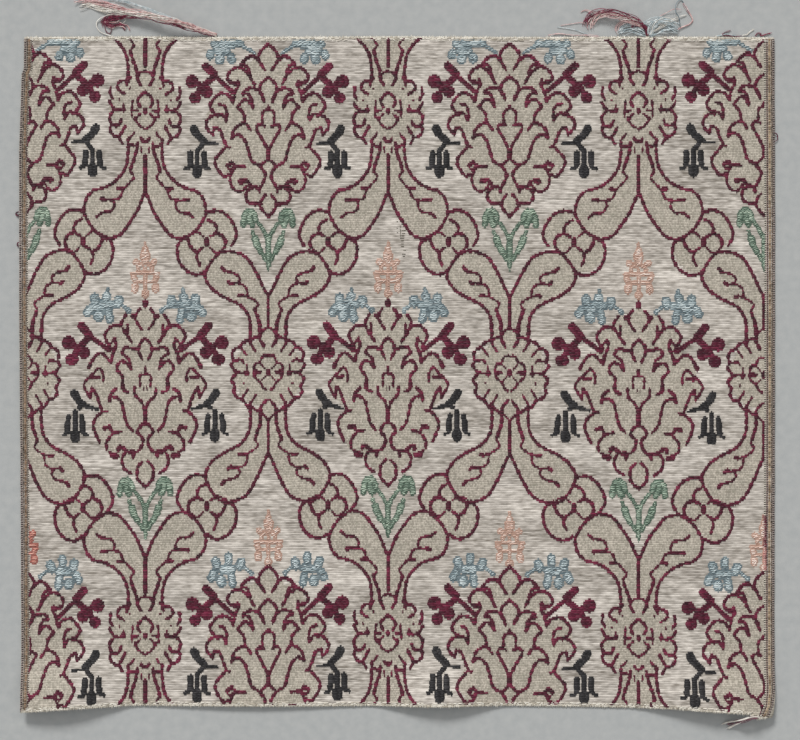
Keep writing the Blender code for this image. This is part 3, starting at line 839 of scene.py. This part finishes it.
def row_noise(tree, x, number, per_metre, seed, detail=1.0):
    """Noise along each weft row, which starts afresh in the next one."""
    along_row = math_node(tree, "MULTIPLY", x, per_metre)
    next_row = math_node(tree, "MULTIPLY", number, ROWS_APART)
    spot = add_node(tree, "ShaderNodeCombineXYZ", {0: along_row, 1: next_row, 2: seed}).outputs[0]
    return noise(tree, spot, detail)


def ground_silk():
    """Silk ground: silvery wefts and dark dashes between them, and the finer warm fill of the motifs."""
    made, tree, shader = new_material("ground_silk", 0.55, 0.18, 0.3)
    x, number, ridge = weft_rows(tree)
    bands = stretched_noise(tree, 7, 45, 2.0)
    long_runs = row_noise(tree, x, number, 24.0, 0.0)
    short_runs = row_noise(tree, x, number, 170.0, 4.7)
    dashes = row_noise(tree, x, number, 95.0, 9.1)
    grain = stretched_noise(tree, 900, 1400, 1.0, 9.2)
    tone = remap(tree, bands, 0.3, 0.7, 0.0, 0.28)
    tone = math_node(tree, "ADD", tone, remap(tree, long_runs, 0.3, 0.7, 0.0, 0.3))
    tone = math_node(tree, "ADD", tone, remap(tree, short_runs, 0.3, 0.7, 0.0, 0.46))
    ground = mix(tree, remap(tree, tone, 0.1, 0.85), *GROUND_SHADES)
    gap = remap(tree, ridge, 0.0, 0.6, 1.0, 0.0)
    dark = math_node(tree, "MULTIPLY", gap, remap(tree, dashes, 0.46, 0.6, 0.1, 1.0))
    ground = mix(tree, dark, ground, GROUND_GAPS)

    cells = row_noise(tree, x, number, 900.0, 13.3, 0.0)
    flecks = stretched_noise(tree, 240, 300, 2.0, 11.4)
    specks = stretched_noise(tree, 420, 700, 1.0, 13.9)
    fill = mix(tree, remap(tree, cells, 0.3, 0.7), *FILL_SHADES)
    fill_dark = math_node(tree, "MULTIPLY", gap, remap(tree, dashes, 0.52, 0.64, 0.0, 0.8))
    fill = mix(tree, fill_dark, fill, FILL_GAPS)
    fill = mix(tree, remap(tree, flecks, 0.4, 0.65, 0.0, 0.35), fill, FILL_FLECKS)
    fill = mix(tree, remap(tree, specks, 0.6, 0.72, 0.0, 0.4), fill, FILL_SPECKS)
    fill = mix(tree, remap(tree, ridge, 0.0, 0.5, 0.4, 0.0), fill, FILL_ROW_EDGES)

    mask = math_node(tree, "ADD", attribute(tree, "fill"), remap(tree, grain, 0.3, 0.7, -0.15, 0.15))
    edge = remap(tree, mask, 0.4, 0.6)
    colour = mix(tree, edge, ground, fill)
    colour = mix(tree, remap(tree, grain, 0.3, 0.75, 0.0, 0.15), colour, GRAIN_SHADE)
    paint(tree, shader, colour)
    row_height = remap(tree, ridge, 0.0, 0.8, 0.0, 0.7)
    grain_height = remap(tree, grain, 0.2, 0.8, 0.0, 0.3)
    bump(tree, shader, math_node(tree, "ADD", row_height, grain_height), 0.0003, 0.7)
    return made


def float_silk(name, dark, middle, light):
    """Floss of the brocading wefts: each float has its own shade, and fine filaments run along it."""
    made, tree, shader = new_material(name, 0.5, 0.25, 0.3)
    patches = stretched_noise(tree, 130, 130, 2.0, 2.2)
    filaments = stretched_noise(tree, 500, 5200, 1.0, 4.4)
    tone = math_node(tree, "MULTIPLY", attribute(tree, "shade"), 0.55)
    tone = math_node(tree, "ADD", tone, remap(tree, patches, 0.3, 0.7, 0.0, 0.45))
    colour = mix(tree, remap(tree, tone, 0.05, 0.55), dark, middle)
    colour = mix(tree, remap(tree, tone, 0.6, 0.95), colour, light)
    colour = mix(tree, remap(tree, filaments, 0.45, 0.7, 0.0, 0.25), colour, light)
    paint(tree, shader, colour)
    bump(tree, shader, filaments, 0.00015, 0.5)
    return made


def thread_silk(name, first, second):
    """Loose floss: two close shades in patches along the filaments."""
    made, tree, shader = new_material(name, 0.5, 0.2, 0.35)
    patches = noise(tree, place_of(tree), 2.0, 420.0)
    colour = mix(tree, remap(tree, patches, 0.35, 0.65), first, second)
    paint(tree, shader, colour)
    bump(tree, shader, patches, 0.0002, 0.4)
    return made


def bead_silk(name, dark, pale):
    """Selvedge ends: each bead or rib is dark or pale."""
    made, tree, shader = new_material(name, 0.6, 0.15, 0.3)
    patches = stretched_noise(tree, 260, 90, 2.0, 1.7)
    filaments = stretched_noise(tree, 700, 4000, 1.0, 3.9)
    tone = math_node(tree, "ADD", attribute(tree, "shade"), remap(tree, patches, 0.3, 0.7, -0.25, 0.25))
    colour = mix(tree, remap(tree, tone, 0.25, 0.75), dark, pale)
    paint(tree, shader, colour)
    bump(tree, shader, filaments, 0.00015, 0.4)
    return made


# Cloth


def fill_mask(x, y):
    """1 where the warmer fill of a motif is woven, else 0."""
    x, y = in_pattern(x, y)
    found = np.zeros(x.shape, bool)

    def add(shape, centre, across=1, up=1):
        near = (abs(x - centre[0]) < MOTIF_REACH[0]) & (abs(y - centre[1]) < MOTIF_REACH[1])
        found[near] |= inside(shape, (x[near] - centre[0]) * across, (y[near] - centre[1]) / up)

    def whole(half):
        return half + [(-px, py) for px, py in reversed(half)]

    for is_a, centre in palmettes():
        add(whole(PALMETTE_A_SHAPE if is_a else PALMETTE_B_SHAPE), centre)
    for is_a, centre in roundels():
        found |= (x - centre[0]) ** 2 + (y - centre[1]) ** 2 < ROUNDEL_RADIUS**2
        for across, up in leaf_turns(is_a, centre):
            add(LEAF_A_SHAPE if is_a else LEAF_B_SHAPE, centre, across, up)
    for centre, across, up in knots():
        add(KNOT_SHAPE, centre, across, up)
    return found.astype(float)


def palmettes():
    """Whether each palmette is of the first kind, and its middle."""
    first = [(True, (column * HALF_REPEAT, y)) for column in COLUMNS_A for y in PALMETTE_A_Y]
    return first + [(False, (column * HALF_REPEAT, PALMETTE_B_Y)) for column in COLUMNS_B]


def roundels():
    """Whether each roundel is of the first kind, and its middle."""
    first = [(True, (column * HALF_REPEAT, y)) for column in COLUMNS_B for y in ROUNDEL_A_Y]
    return first + [(False, (column * HALF_REPEAT, ROUNDEL_B_Y)) for column in COLUMNS_A]


def leaf_turns(is_a, centre):
    """How the leaf under a roundel is turned for each of its four leaves. Those of the upper half differ."""
    if is_a:
        size = UPPER_LEAF_A if centre[1] > 0 else 1.0
        return [(across, up) for across in (1, -1) for up in (size, -size)]
    return [(across, up) for across in (1, -1) for up in (1.0, -UPPER_LEAF_B)]


def knots():
    """Middle of each knot and the way it is turned, which alternates."""
    made = []
    for i, column in enumerate(COLUMNS_KNOT):
        for up, y in zip((-1, 1), KNOT_Y):
            made.append(((column * HALF_REPEAT, y), 1 if i % 2 else -1, up))
    return made


def make_cloth():
    """A closed sheet with the solid's outline and waves, fine enough for its puckers and thin rims."""
    columns = round(FLAT_SIZE[0] / MM / CLOTH_CELL)
    rows = round(FLAT_SIZE[1] / MM / CLOTH_CELL)
    across, up = np.meshgrid(np.linspace(0, 1, columns + 1), np.linspace(0, 1, rows + 1))
    x, y = cloth_xy(across.ravel(), up.ravel())
    upper = np.stack((x, y, top_side(x, y)), 1)
    lower = np.stack((x, y, underside(x, y)), 1)
    count = len(x)
    index = np.arange(count).reshape(rows + 1, columns + 1)
    a, b, c, d = (part.ravel() for part in (index[:-1, :-1], index[:-1, 1:], index[1:, 1:], index[1:, :-1]))
    top_faces = np.stack((a, b, c, d), 1)
    rim = np.concatenate((index[0, :], index[1:, -1], index[-1, -2::-1], index[-2::-1, 0]))
    walls = np.stack((rim[:-1] + count, rim[1:] + count, rim[1:], rim[:-1]), 1)
    faces = np.concatenate((top_faces, top_faces[:, ::-1] + count, walls))
    cloth = new_mesh("cloth", np.concatenate((upper, lower)), faces, ground_silk())
    mask = fill_mask(x, y)
    set_attribute(cloth, "fill", np.concatenate((mask, mask)))
    strip_below = lower * (1, BACK_SQUEEZE, 1) - (0, BACK_BELOW, 0)
    set_flat_map(cloth, np.concatenate((upper, strip_below)))
    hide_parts("panel")
    return cloth


# Brocading


def smooth(points):
    """Points on a smooth curve through these."""
    points = np.array(points, float)
    if len(points) < 3:
        return points
    ends = 2 * points[0] - points[1], 2 * points[-1] - points[-2]
    padded = np.vstack([ends[0], points, ends[1]])
    made = []
    for a, b, c, d in zip(padded, padded[1:], padded[2:], padded[3:]):
        steps = max(2, round(float(np.linalg.norm(c - b)) / CURVE_STEP))
        for t in np.arange(steps) / steps:
            made.append(b + 0.5 * t * (c - a + t * (2 * a - 5 * b + 4 * c - d + t * (3 * (b - c) + d - a))))
    return np.array(made + [points[-1]])


def new_chart():
    return np.zeros(CHART_SHAPE, bool)


def stamp(chart, line, width):
    """Marks the chart's cells that a stroke covers. Thin strokes swell and narrow along their length."""
    starts, ends = (line[:-1], line[1:]) if len(line) > 1 else (line, line)
    beading = BEADING if width <= THICKEST_BEADED and len(line) > 2 else 0.0
    turn = DICE.uniform(0, 2 * math.pi)
    for start, end in zip(starts, ends):
        turn += 2 * math.pi * math.dist(start, end) / BEAD_LENGTH
        half_width = width / 2 * (1 + beading * math.sin(turn))
        reach = np.array((half_width, max(half_width - WEFT_SQUEEZE, LEAST_REACH)))
        low = np.minimum(start, end) - reach
        high = np.maximum(start, end) + reach
        first_column = max(0, math.ceil((low[0] - CHART_LEFT) / COLUMN))
        last_column = min(CHART_SHAPE[1] - 1, math.floor((high[0] - CHART_LEFT) / COLUMN))
        first_row = max(0, math.ceil((low[1] - CHART_BOTTOM) / ROW))
        last_row = min(CHART_SHAPE[0] - 1, math.floor((high[1] - CHART_BOTTOM) / ROW))
        if first_column > last_column or first_row > last_row:
            continue
        x = (CHART_LEFT + COLUMN * np.arange(first_column, last_column + 1) - start[0]) / reach[0]
        y = (CHART_BOTTOM + ROW * np.arange(first_row, last_row + 1)[:, None] - start[1]) / reach[1]
        ahead = (end - start) / reach
        length = max(float(ahead @ ahead), 1e-9)
        t = np.clip((x * ahead[0] + y * ahead[1]) / length, 0, 1)
        covered = (x - t * ahead[0]) ** 2 + (y - t * ahead[1]) ** 2 <= 1
        chart[first_row : last_row + 1, first_column : last_column + 1] |= covered


def draw(chart, strokes, centre, across=1, up=1, fuller=FULLER):
    """Stamps a motif's strokes, turned over where across or up is negative."""
    for width, points in strokes:
        stamp(chart, woven(smooth(points) * (across, up) + centre), max(width + fuller, THINNEST))


def draw_both(chart, strokes, centre, fuller=FULLER):
    """Stamps the right half of a motif and its mirrored left half."""
    draw(chart, strokes, centre, 1, 1, fuller)
    draw(chart, strokes, centre, -1, 1, fuller)


def draw_floss(charts, strokes, centre, fuller):
    """Draws the whole motif in the first chart, and the raised cores of its lobes in the second."""
    draw_both(charts[0], strokes, centre, fuller)
    draw_both(charts[1], strokes, centre, CORE_FULLER)


def floats_of(chart, keep=1.0, longest=LONGEST_FLOAT):
    """Left end, right end and y of each float: a row's runs of cells, long ones tied down on the way."""
    made = []
    for row in range(CHART_SHAPE[0]):
        changes = np.flatnonzero(np.diff(np.concatenate(([0], chart[row].astype(int), [0]))))
        y = CHART_BOTTOM + ROW * row
        for start, end in zip(changes[::2], changes[1::2]):
            left = CHART_LEFT + COLUMN * (start - 0.5)
            right = CHART_LEFT + COLUMN * (end - 0.5)
            pieces = max(1, math.ceil((right - left) / longest))
            slack = (right - left) / pieces
            shift = slack * TIE_SHIFT * (row % 2) if pieces > 1 else 0.0
            cuts = [left] + [left + slack * k + shift for k in range(1, pieces)] + [right]
            for a, b in zip(cuts, cuts[1:]):
                if keep >= 1.0 or DICE.random() < keep:
                    made.append((a - TIE_OVERLAP * (a > left), b + TIE_OVERLAP * (b < right), y))
    made = np.array(made)
    bottom = along(BOTTOM_EDGE, made[:, 0]) + END_MARGIN
    top = along(TOP_EDGE, made[:, 0]) - END_MARGIN
    left = along(LEFT_EDGE, made[:, 2]) + LEFT_SELVEDGE_WIDTH - UNDER_SELVEDGE
    right = along(RIGHT_EDGE, made[:, 2]) - RIGHT_SELVEDGE_WIDTH + UNDER_SELVEDGE
    made[:, 0] = np.maximum(made[:, 0], left)
    made[:, 1] = np.minimum(made[:, 1], right)
    fits = (made[:, 2] > bottom) & (made[:, 2] < top) & (made[:, 1] - made[:, 0] > SHORTEST_FLOAT)
    return made[fits]


def raised_floats(
    name, floats, material, rise=FLOAT_RISE, half=FLOAT_HALF, untidy=0.1, slant=0.0, shade=None
):
    """Each float is a small closed pillow, sunk into the cloth all round. Sizes may be one number or many."""
    count = len(floats)
    left = floats[:, 0] + DICE.normal(0, untidy, count)
    right = floats[:, 1] + DICE.normal(0, untidy, count)
    y = floats[:, 2] + DICE.normal(0, ROW_UNTIDY, count)
    rise = rise * DICE.uniform(*RISE_SPREAD, count)
    inset = np.minimum(FLOAT_INSET, 0.3 * (right - left))
    points = np.empty((count, 8, 3))
    for corner, (side, up) in enumerate(((0, -1), (1, -1), (1, 1), (0, 1))):
        outer_x = right if side else left
        inner_x = outer_x - inset if side else outer_x + inset
        middle_y = y + slant * (side - 0.5)
        points[:, corner, 0] = outer_x
        points[:, corner, 1] = middle_y + up * half
        points[:, corner + 4, 0] = inner_x
        points[:, corner + 4, 1] = middle_y + up * half * FLOAT_CROWN
    base = top_side(points[:, :, 0], points[:, :, 1])
    points[:, :4, 2] = base[:, :4] - FLOAT_SUNK
    points[:, 4:, 2] = base[:, 4:] + rise[:, None]
    pillow = np.array(((0, 3, 2, 1), (4, 5, 6, 7), (0, 1, 5, 4), (1, 2, 6, 5), (2, 3, 7, 6), (3, 0, 4, 7)))
    faces = (pillow[None] + 8 * np.arange(count)[:, None, None]).reshape(-1, 4)
    flat_points = points.reshape(-1, 3)
    made = new_mesh(name, flat_points, faces, material)
    set_attribute(made, "shade", np.repeat(DICE.random(count) if shade is None else shade, 8))
    set_flat_map(made, flat_points)
    return made


def rough_floats(name, charts, material):
    """A dark bed of low floats, which is painted shade in the gaps and round the lobes' edges, with pale ones
    over the cores of the lobes, lying loosely and aslant.
    """
    shade_bed = floats_of(charts[0])
    over = floats_of(charts[1], CORES_KEPT, LONGEST_CORE)
    sizes = (len(shade_bed), len(over))
    return raised_floats(
        name,
        np.concatenate((shade_bed, over)),
        material,
        rise=np.repeat((SHADE_BED_RISE, CORE_RISE), sizes),
        half=np.repeat((FLOAT_HALF, CORE_HALF), sizes),
        untidy=0.16,
        slant=np.concatenate((np.zeros(sizes[0]), DICE.normal(0.4, 0.5, sizes[1]))),
        # dark shades for the bed paint the shade in the gaps; pale ones for the floats over the cores
        shade=np.concatenate((DICE.uniform(-1.0, -0.1, sizes[0]), DICE.uniform(0.4, 1.3, sizes[1]))),
    )


def make_brocading():
    """Charts every motif and raises each silk's floats as a piece."""
    palmette_lines = new_chart()
    lattice = new_chart()
    charcoal = new_chart()
    blue, green, peach, coral = ((new_chart(), new_chart()) for _ in range(4))
    for is_a, centre in palmettes():
        at_top = is_a and centre[1] > 0
        draw_both(palmette_lines, PALMETTE_A + BERRIES_A if is_a else PALMETTE_B + BERRIES_B, centre)
        draw_both(charcoal, BELL_A if is_a else BELL_B, centre)
        draw_floss(green, GREEN_SPRIG, (centre[0], centre[1] + GREEN_A_HIGHER * is_a), SPRIG_FULLER)
        if at_top:
            draw_floss(blue, BLUE_A_TOP, centre, TOP_CLUSTER_FULLER)
            continue
        draw_floss(blue, BLUE_A if is_a else BLUE_B, centre, CLUSTER_FULLER)
        at_left_edge = centre[0] < -2.5 * HALF_REPEAT
        tree = coral if at_left_edge else peach
        draw_floss(tree, PEACH_TREE, (centre[0], centre[1] - PEACH_TREE_A_LOWER * is_a), TREE_FULLER)
    for is_a, centre in roundels():
        draw_both(lattice, ROUNDEL_A if is_a else ROUNDEL_B, centre)
        for across, up in leaf_turns(is_a, centre):
            draw(lattice, LEAF_A + SPRIG_A if is_a else LEAF_B + SPRIG_B, centre, across, up)
    for centre, across, up in knots():
        draw(lattice, KNOT, centre, across * up)
    crimson = float_silk("crimson_floss", "22060e", "541128", "822745")
    charcoal_silk = float_silk("charcoal_floss", "131112", "242223", "403d3e")
    mending = bead_silk("mending", "38342b", "5e5848")
    return [
        raised_floats("brocade_palmettes", floats_of(palmette_lines), crimson),
        raised_floats("brocade_lattice", floats_of(lattice & ~palmette_lines), crimson),
        raised_floats("brocade_bells", floats_of(charcoal), charcoal_silk),
        rough_floats("brocade_clusters", blue, float_silk("blue_floss", "536369", "a6b6b9", "dfe9e9")),
        rough_floats("brocade_sprigs", green, float_silk("green_floss", "3c5243", "889d8a", "c3d3be")),
        rough_floats("brocade_trees", peach, float_silk("peach_floss", "a98472", "e0bdab", "f8e6da")),
        rough_floats("brocade_left_tree", coral, float_silk("coral_floss", "8f4c43", "d28b7a", "ebb4a4")),
        raised_floats("mending_stitches", mending_floats(), mending, rise=0.3, half=0.3),
    ]


def mending_floats():
    """The dark stitches of the worn place, and the run of small ones beside them."""
    x, low, high = MENDING_RUN
    run = [(x - 0.4, x + 0.4, y) for y in np.arange(low, high, MENDING_PITCH)]
    return np.array(MENDING + run)


# Selvedges and frayed ends


def make_selvedges():
    """Each woven column of both selvedges is a piece of beads or of wider ribs."""
    brown = bead_silk("brown_ribs", "3f3128", "6d5849")
    silks = {
        "edge_beads": bead_silk("edge_beads", "23171c", "a6968f"),
        "plum_beads": bead_silk("plum_beads", "2f1c20", "8b6f66"),
        "inner_beads": bead_silk("inner_beads", "4e463f", "d9d0c2"),
        "brown_ribs": brown,
        "inner_ribs": brown,
        "stripe": bead_silk("stripe", "765f48", "b8a084"),
        "dull_stripe": bead_silk("dull_stripe", "684f3a", "9a7d64"),
    }
    made = []
    for side, column, inset, width in SELVEDGE_COLUMNS:
        beads = "beads" in column
        y = np.arange(BOTTOM_EDGE[0][1] - 6, TOP_EDGE[0][1], BEAD_PITCH if beads else RIB_PITCH)
        middle = along(LEFT_EDGE, y) + inset if side == "left" else along(RIGHT_EDGE, y) - inset
        floats = np.stack((middle - width / 2, middle + width / 2, y), 1)
        floats = floats[(y > along(BOTTOM_EDGE, middle) + 0.8) & (y < along(TOP_EDGE, middle) - 0.8)]
        if beads:
            shade = np.arange(len(floats)) % 2 + DICE.normal(0, 0.2, len(floats))
        else:
            shade = DICE.uniform(0, 1, len(floats))
        half = BEAD_HALF if beads else RIB_HALF
        name = f"selvedge_{side}_{column}"
        made.append(raised_floats(name, floats, silks[column], 0.3, half, 0.05, slant=0.1, shade=shade))
    return made


def make_coral_patch():
    """Stitches beside the right selvedge, coral in the lower part and crimson in the upper one."""
    low, high, inset, width = CORAL_PATCH
    y = np.arange(low, high, RIB_PITCH)
    middle = along(RIGHT_EDGE, y) - inset
    floats = np.stack((middle - width / 2, middle + width / 2, y), 1)
    shade = 0.75 - 0.9 * ease((y + 128) / 14) + DICE.normal(0, 0.25, len(y))
    silk = bead_silk("coral_ribs", "6b2236", "cf8f88")
    return raised_floats("selvedge_coral", floats, silk, 0.5, 0.5, untidy=0.2, slant=-0.5, shade=shade)


def make_edge_wefts(name, edge, side):
    """The last cream wefts of a cut edge, ragged and in places gone. The side is 1 at the top, -1 below."""
    floats = []
    halves = []
    for inset, half in EDGE_WEFTS:
        x = edge[0][0] + 1.0
        while x < edge[-1][0] - 6:
            length = DICE.uniform(1.5, 5.0)
            if DICE.random() < WEFTS_LEFT:
                floats.append((x, x + length, float(along(edge, x + length / 2)) - side * inset))
                halves.append(half)
            x += length + DICE.uniform(0, 0.6)
    count = len(floats)
    return raised_floats(
        name,
        np.array(floats),
        bead_silk(name, "bdb4a4", "f2ecdf"),
        rise=0.4,
        half=np.array(halves),
        untidy=0.2,
        slant=DICE.normal(0, 0.3, count),
        shade=DICE.uniform(0.2, 1.1, count),
    )


def make_nubs():
    """Small crimson loops that stand out past the selvedges."""
    lines = []
    for route in NUBS:
        lines += strand_lines(route, 4, 0.35)
    made = strand_tubes("selvedge_nubs", lines, STRAND_RADIUS, thread_silk("nub_silk", "3a1422", "6e2a40"))
    return made


def strand_tubes(name, lines, radius, material):
    """One mesh of closed round strands along these lines, each with its own shade."""
    points = []
    faces = []
    shades = []
    sides = STRAND_SIDES
    turn = np.arange(sides) * 2 * math.pi / sides
    for line in lines:
        line = np.asarray(line)
        ahead = np.gradient(line, axis=0)
        ahead /= np.linalg.norm(ahead, axis=1)[:, None]
        side = np.cross(ahead, (0.0, 0.02, 1.0))
        side /= np.linalg.norm(side, axis=1)[:, None]
        up = np.cross(side, ahead)
        size = np.full((len(line), 1, 1), radius)
        size[0] = size[-1] = radius * STRAND_TIP
        round_it = np.cos(turn)[None, :, None] * side[:, None] + np.sin(turn)[None, :, None] * up[:, None]
        first = len(points) * sides
        points.extend(line[:, None] + size * round_it)
        for ring_start in range(first, first + (len(line) - 1) * sides, sides):
            for k in range(sides):
                here = ring_start + k
                beside = ring_start + (k + 1) % sides
                faces.append((here, beside, beside + sides, here + sides))
        last = first + (len(line) - 1) * sides
        faces += [(first + 3, first + 2, first + 1, first), (first + 5, first + 4, first + 3, first)]
        faces += [(last, last + 1, last + 2, last + 3), (last, last + 3, last + 4, last + 5)]
        shades += [DICE.random()] * (len(line) * sides)
    made = new_mesh(name, np.array(points).reshape(-1, 3), faces, material)
    set_attribute(made, "shade", np.array(shades))
    return made


def make_fray(name, edge, side):
    """Fine warp ends that stand past the last weft of a cut edge. The side is 1 at the top, -1 below."""
    lines = []
    for x in np.arange(edge[0][0] + 1, edge[-1][0] - 1, HAIR_PITCH):
        x = x + DICE.normal(0, 0.15)
        y = along(edge, x)
        lean = DICE.normal(0, 0.5)
        reach = DICE.uniform(0.1, 0.9) + (0.8 if DICE.random() < 0.08 else 0.0)
        base = top_side(x, y - side * 1.6)
        low = underside(x, y)
        lines.append([
            (x, y - side * 1.7, base - 0.05),
            (x + 0.2 * lean, y - side * 0.7, base + 0.2),
            (x + 0.6 * lean, y + side * 0.3 * reach, low + 0.75),
            (x + lean, y + side * reach, low + 0.35),
        ])
    made = strand_tubes(name, lines, HAIR_RADIUS, bead_silk("frayed_warp", "bdb4a3", "efe9db"))
    return made


# Loose silk


def strand_lines(route, count, spread):
    """Lines side by side along a route. They twist about it, sway a little and loosen towards its end."""
    route = smooth(route)
    share = np.linspace(0, 1, len(route))
    ahead = np.gradient(route, axis=0)
    side = np.stack((ahead[:, 1], -ahead[:, 0]), 1)
    side /= np.linalg.norm(side, axis=1)[:, None]
    length = float(np.linalg.norm(np.diff(route, axis=0), axis=1).sum())
    made = []
    for k in range(count):
        angle = 2 * math.pi * (k / count + DICE.uniform(-0.1, 0.1)) + share * length / TWIST_LENGTH
        reach = spread * math.sqrt(DICE.uniform(0.05, 1)) * (0.35 + 0.65 * ease(share * 3))
        sway = 0.36 * spread * np.sin(share * length / DICE.uniform(2.5, 5) + DICE.uniform(0, 6))
        line = route.copy()
        line[:, :2] += side * (reach * np.cos(angle) + sway)[:, None]
        line[:, 2] += 0.55 * reach * np.sin(angle)
        line[:, 2] = np.maximum(line[:, 2], STRAND_RADIUS)
        made.append(line[: max(4, round(len(line) * DICE.uniform(0.9, 1.0)))])
    return made


def make_loose_silk():
    """One piece for each silk of each bundle, in place of the bundle's solid."""
    silks = {
        "pink": thread_silk("loose_pink", "c4908f", "efd6d0"),
        "cream": thread_silk("loose_cream", "d8d0c4", "f6f2ea"),
        "blue": thread_silk("loose_blue", "9fb0b5", "e6ecec"),
        "crimson": thread_silk("loose_crimson", "5d1830", "93324f"),
        "plum": thread_silk("loose_plum", "5a3440", "8c5f68"),
        "slate": thread_silk("loose_slate", "4f646e", "75878e"),
    }
    for skein, rows in STRANDS.items():
        lines = {}
        for silk, count, spread, route in rows:
            lines.setdefault(silk, []).extend(strand_lines(route, count, spread))
        for silk, strands in lines.items():
            made = strand_tubes(f"{skein}_{silk}", strands, STRAND_RADIUS, silks[silk])
            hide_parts(skein)


# Camera, floor and light


def make_camera():
    data = bpy.data.cameras.new("camera")
    data.lens = LENS
    data.sensor_width = SENSOR
    camera = bpy.data.objects.new("camera", data)
    camera.location = Vector((*CAMERA_OVER, CAMERA_HEIGHT)) * MM
    bpy.context.scene.collection.objects.link(camera)
    bpy.context.scene.camera = camera


def make_floor():
    material, tree, shader = new_material("pale_floor", 0.8, 0.0)
    grain = stretched_noise(tree, 160, 160, 3.0)
    colour = mix(tree, remap(tree, grain, 0.3, 0.7), "a9abaa", "b2b3b1")
    paint(tree, shader, colour)
    bpy.ops.mesh.primitive_plane_add(size=FLOOR_SIZE, location=(0, 0, -FLOOR_BELOW))
    floor = bpy.context.object
    floor.name = "floor"
    floor.data.materials.append(material)


def make_lights():
    data = bpy.data.lights.new("window", "SUN")
    data.angle = math.radians(SUN_WIDTH)
    data.energy = SUN_POWER
    window = bpy.data.objects.new("window", data)
    window.location = SUN_FROM
    window.rotation_euler = (-window.location).to_track_quat("-Z", "Y").to_euler()
    bpy.context.scene.collection.objects.link(window)
    world = bpy.data.worlds.new("room")
    world.use_nodes = True
    sky = world.node_tree.nodes["Background"]
    sky.inputs["Color"].default_value = SKY_COLOUR
    sky.inputs["Strength"].default_value = SKY_POWER
    bpy.context.scene.world = world
    bpy.context.scene.view_settings.view_transform = "Standard"


make_camera()
make_floor()
make_lights()
cloth = make_cloth()
on_cloth = make_brocading() + make_selvedges()
on_cloth.append(make_fray("fray_top", TOP_EDGE, 1))
on_cloth.append(make_fray("fray_bottom", BOTTOM_EDGE, -1))
on_cloth.append(make_edge_wefts("edge_wefts_top", TOP_EDGE, 1))
on_cloth.append(make_edge_wefts("edge_wefts_bottom", BOTTOM_EDGE, -1))
on_cloth.append(make_coral_patch())
on_cloth.append(make_nubs())
make_loose_silk()
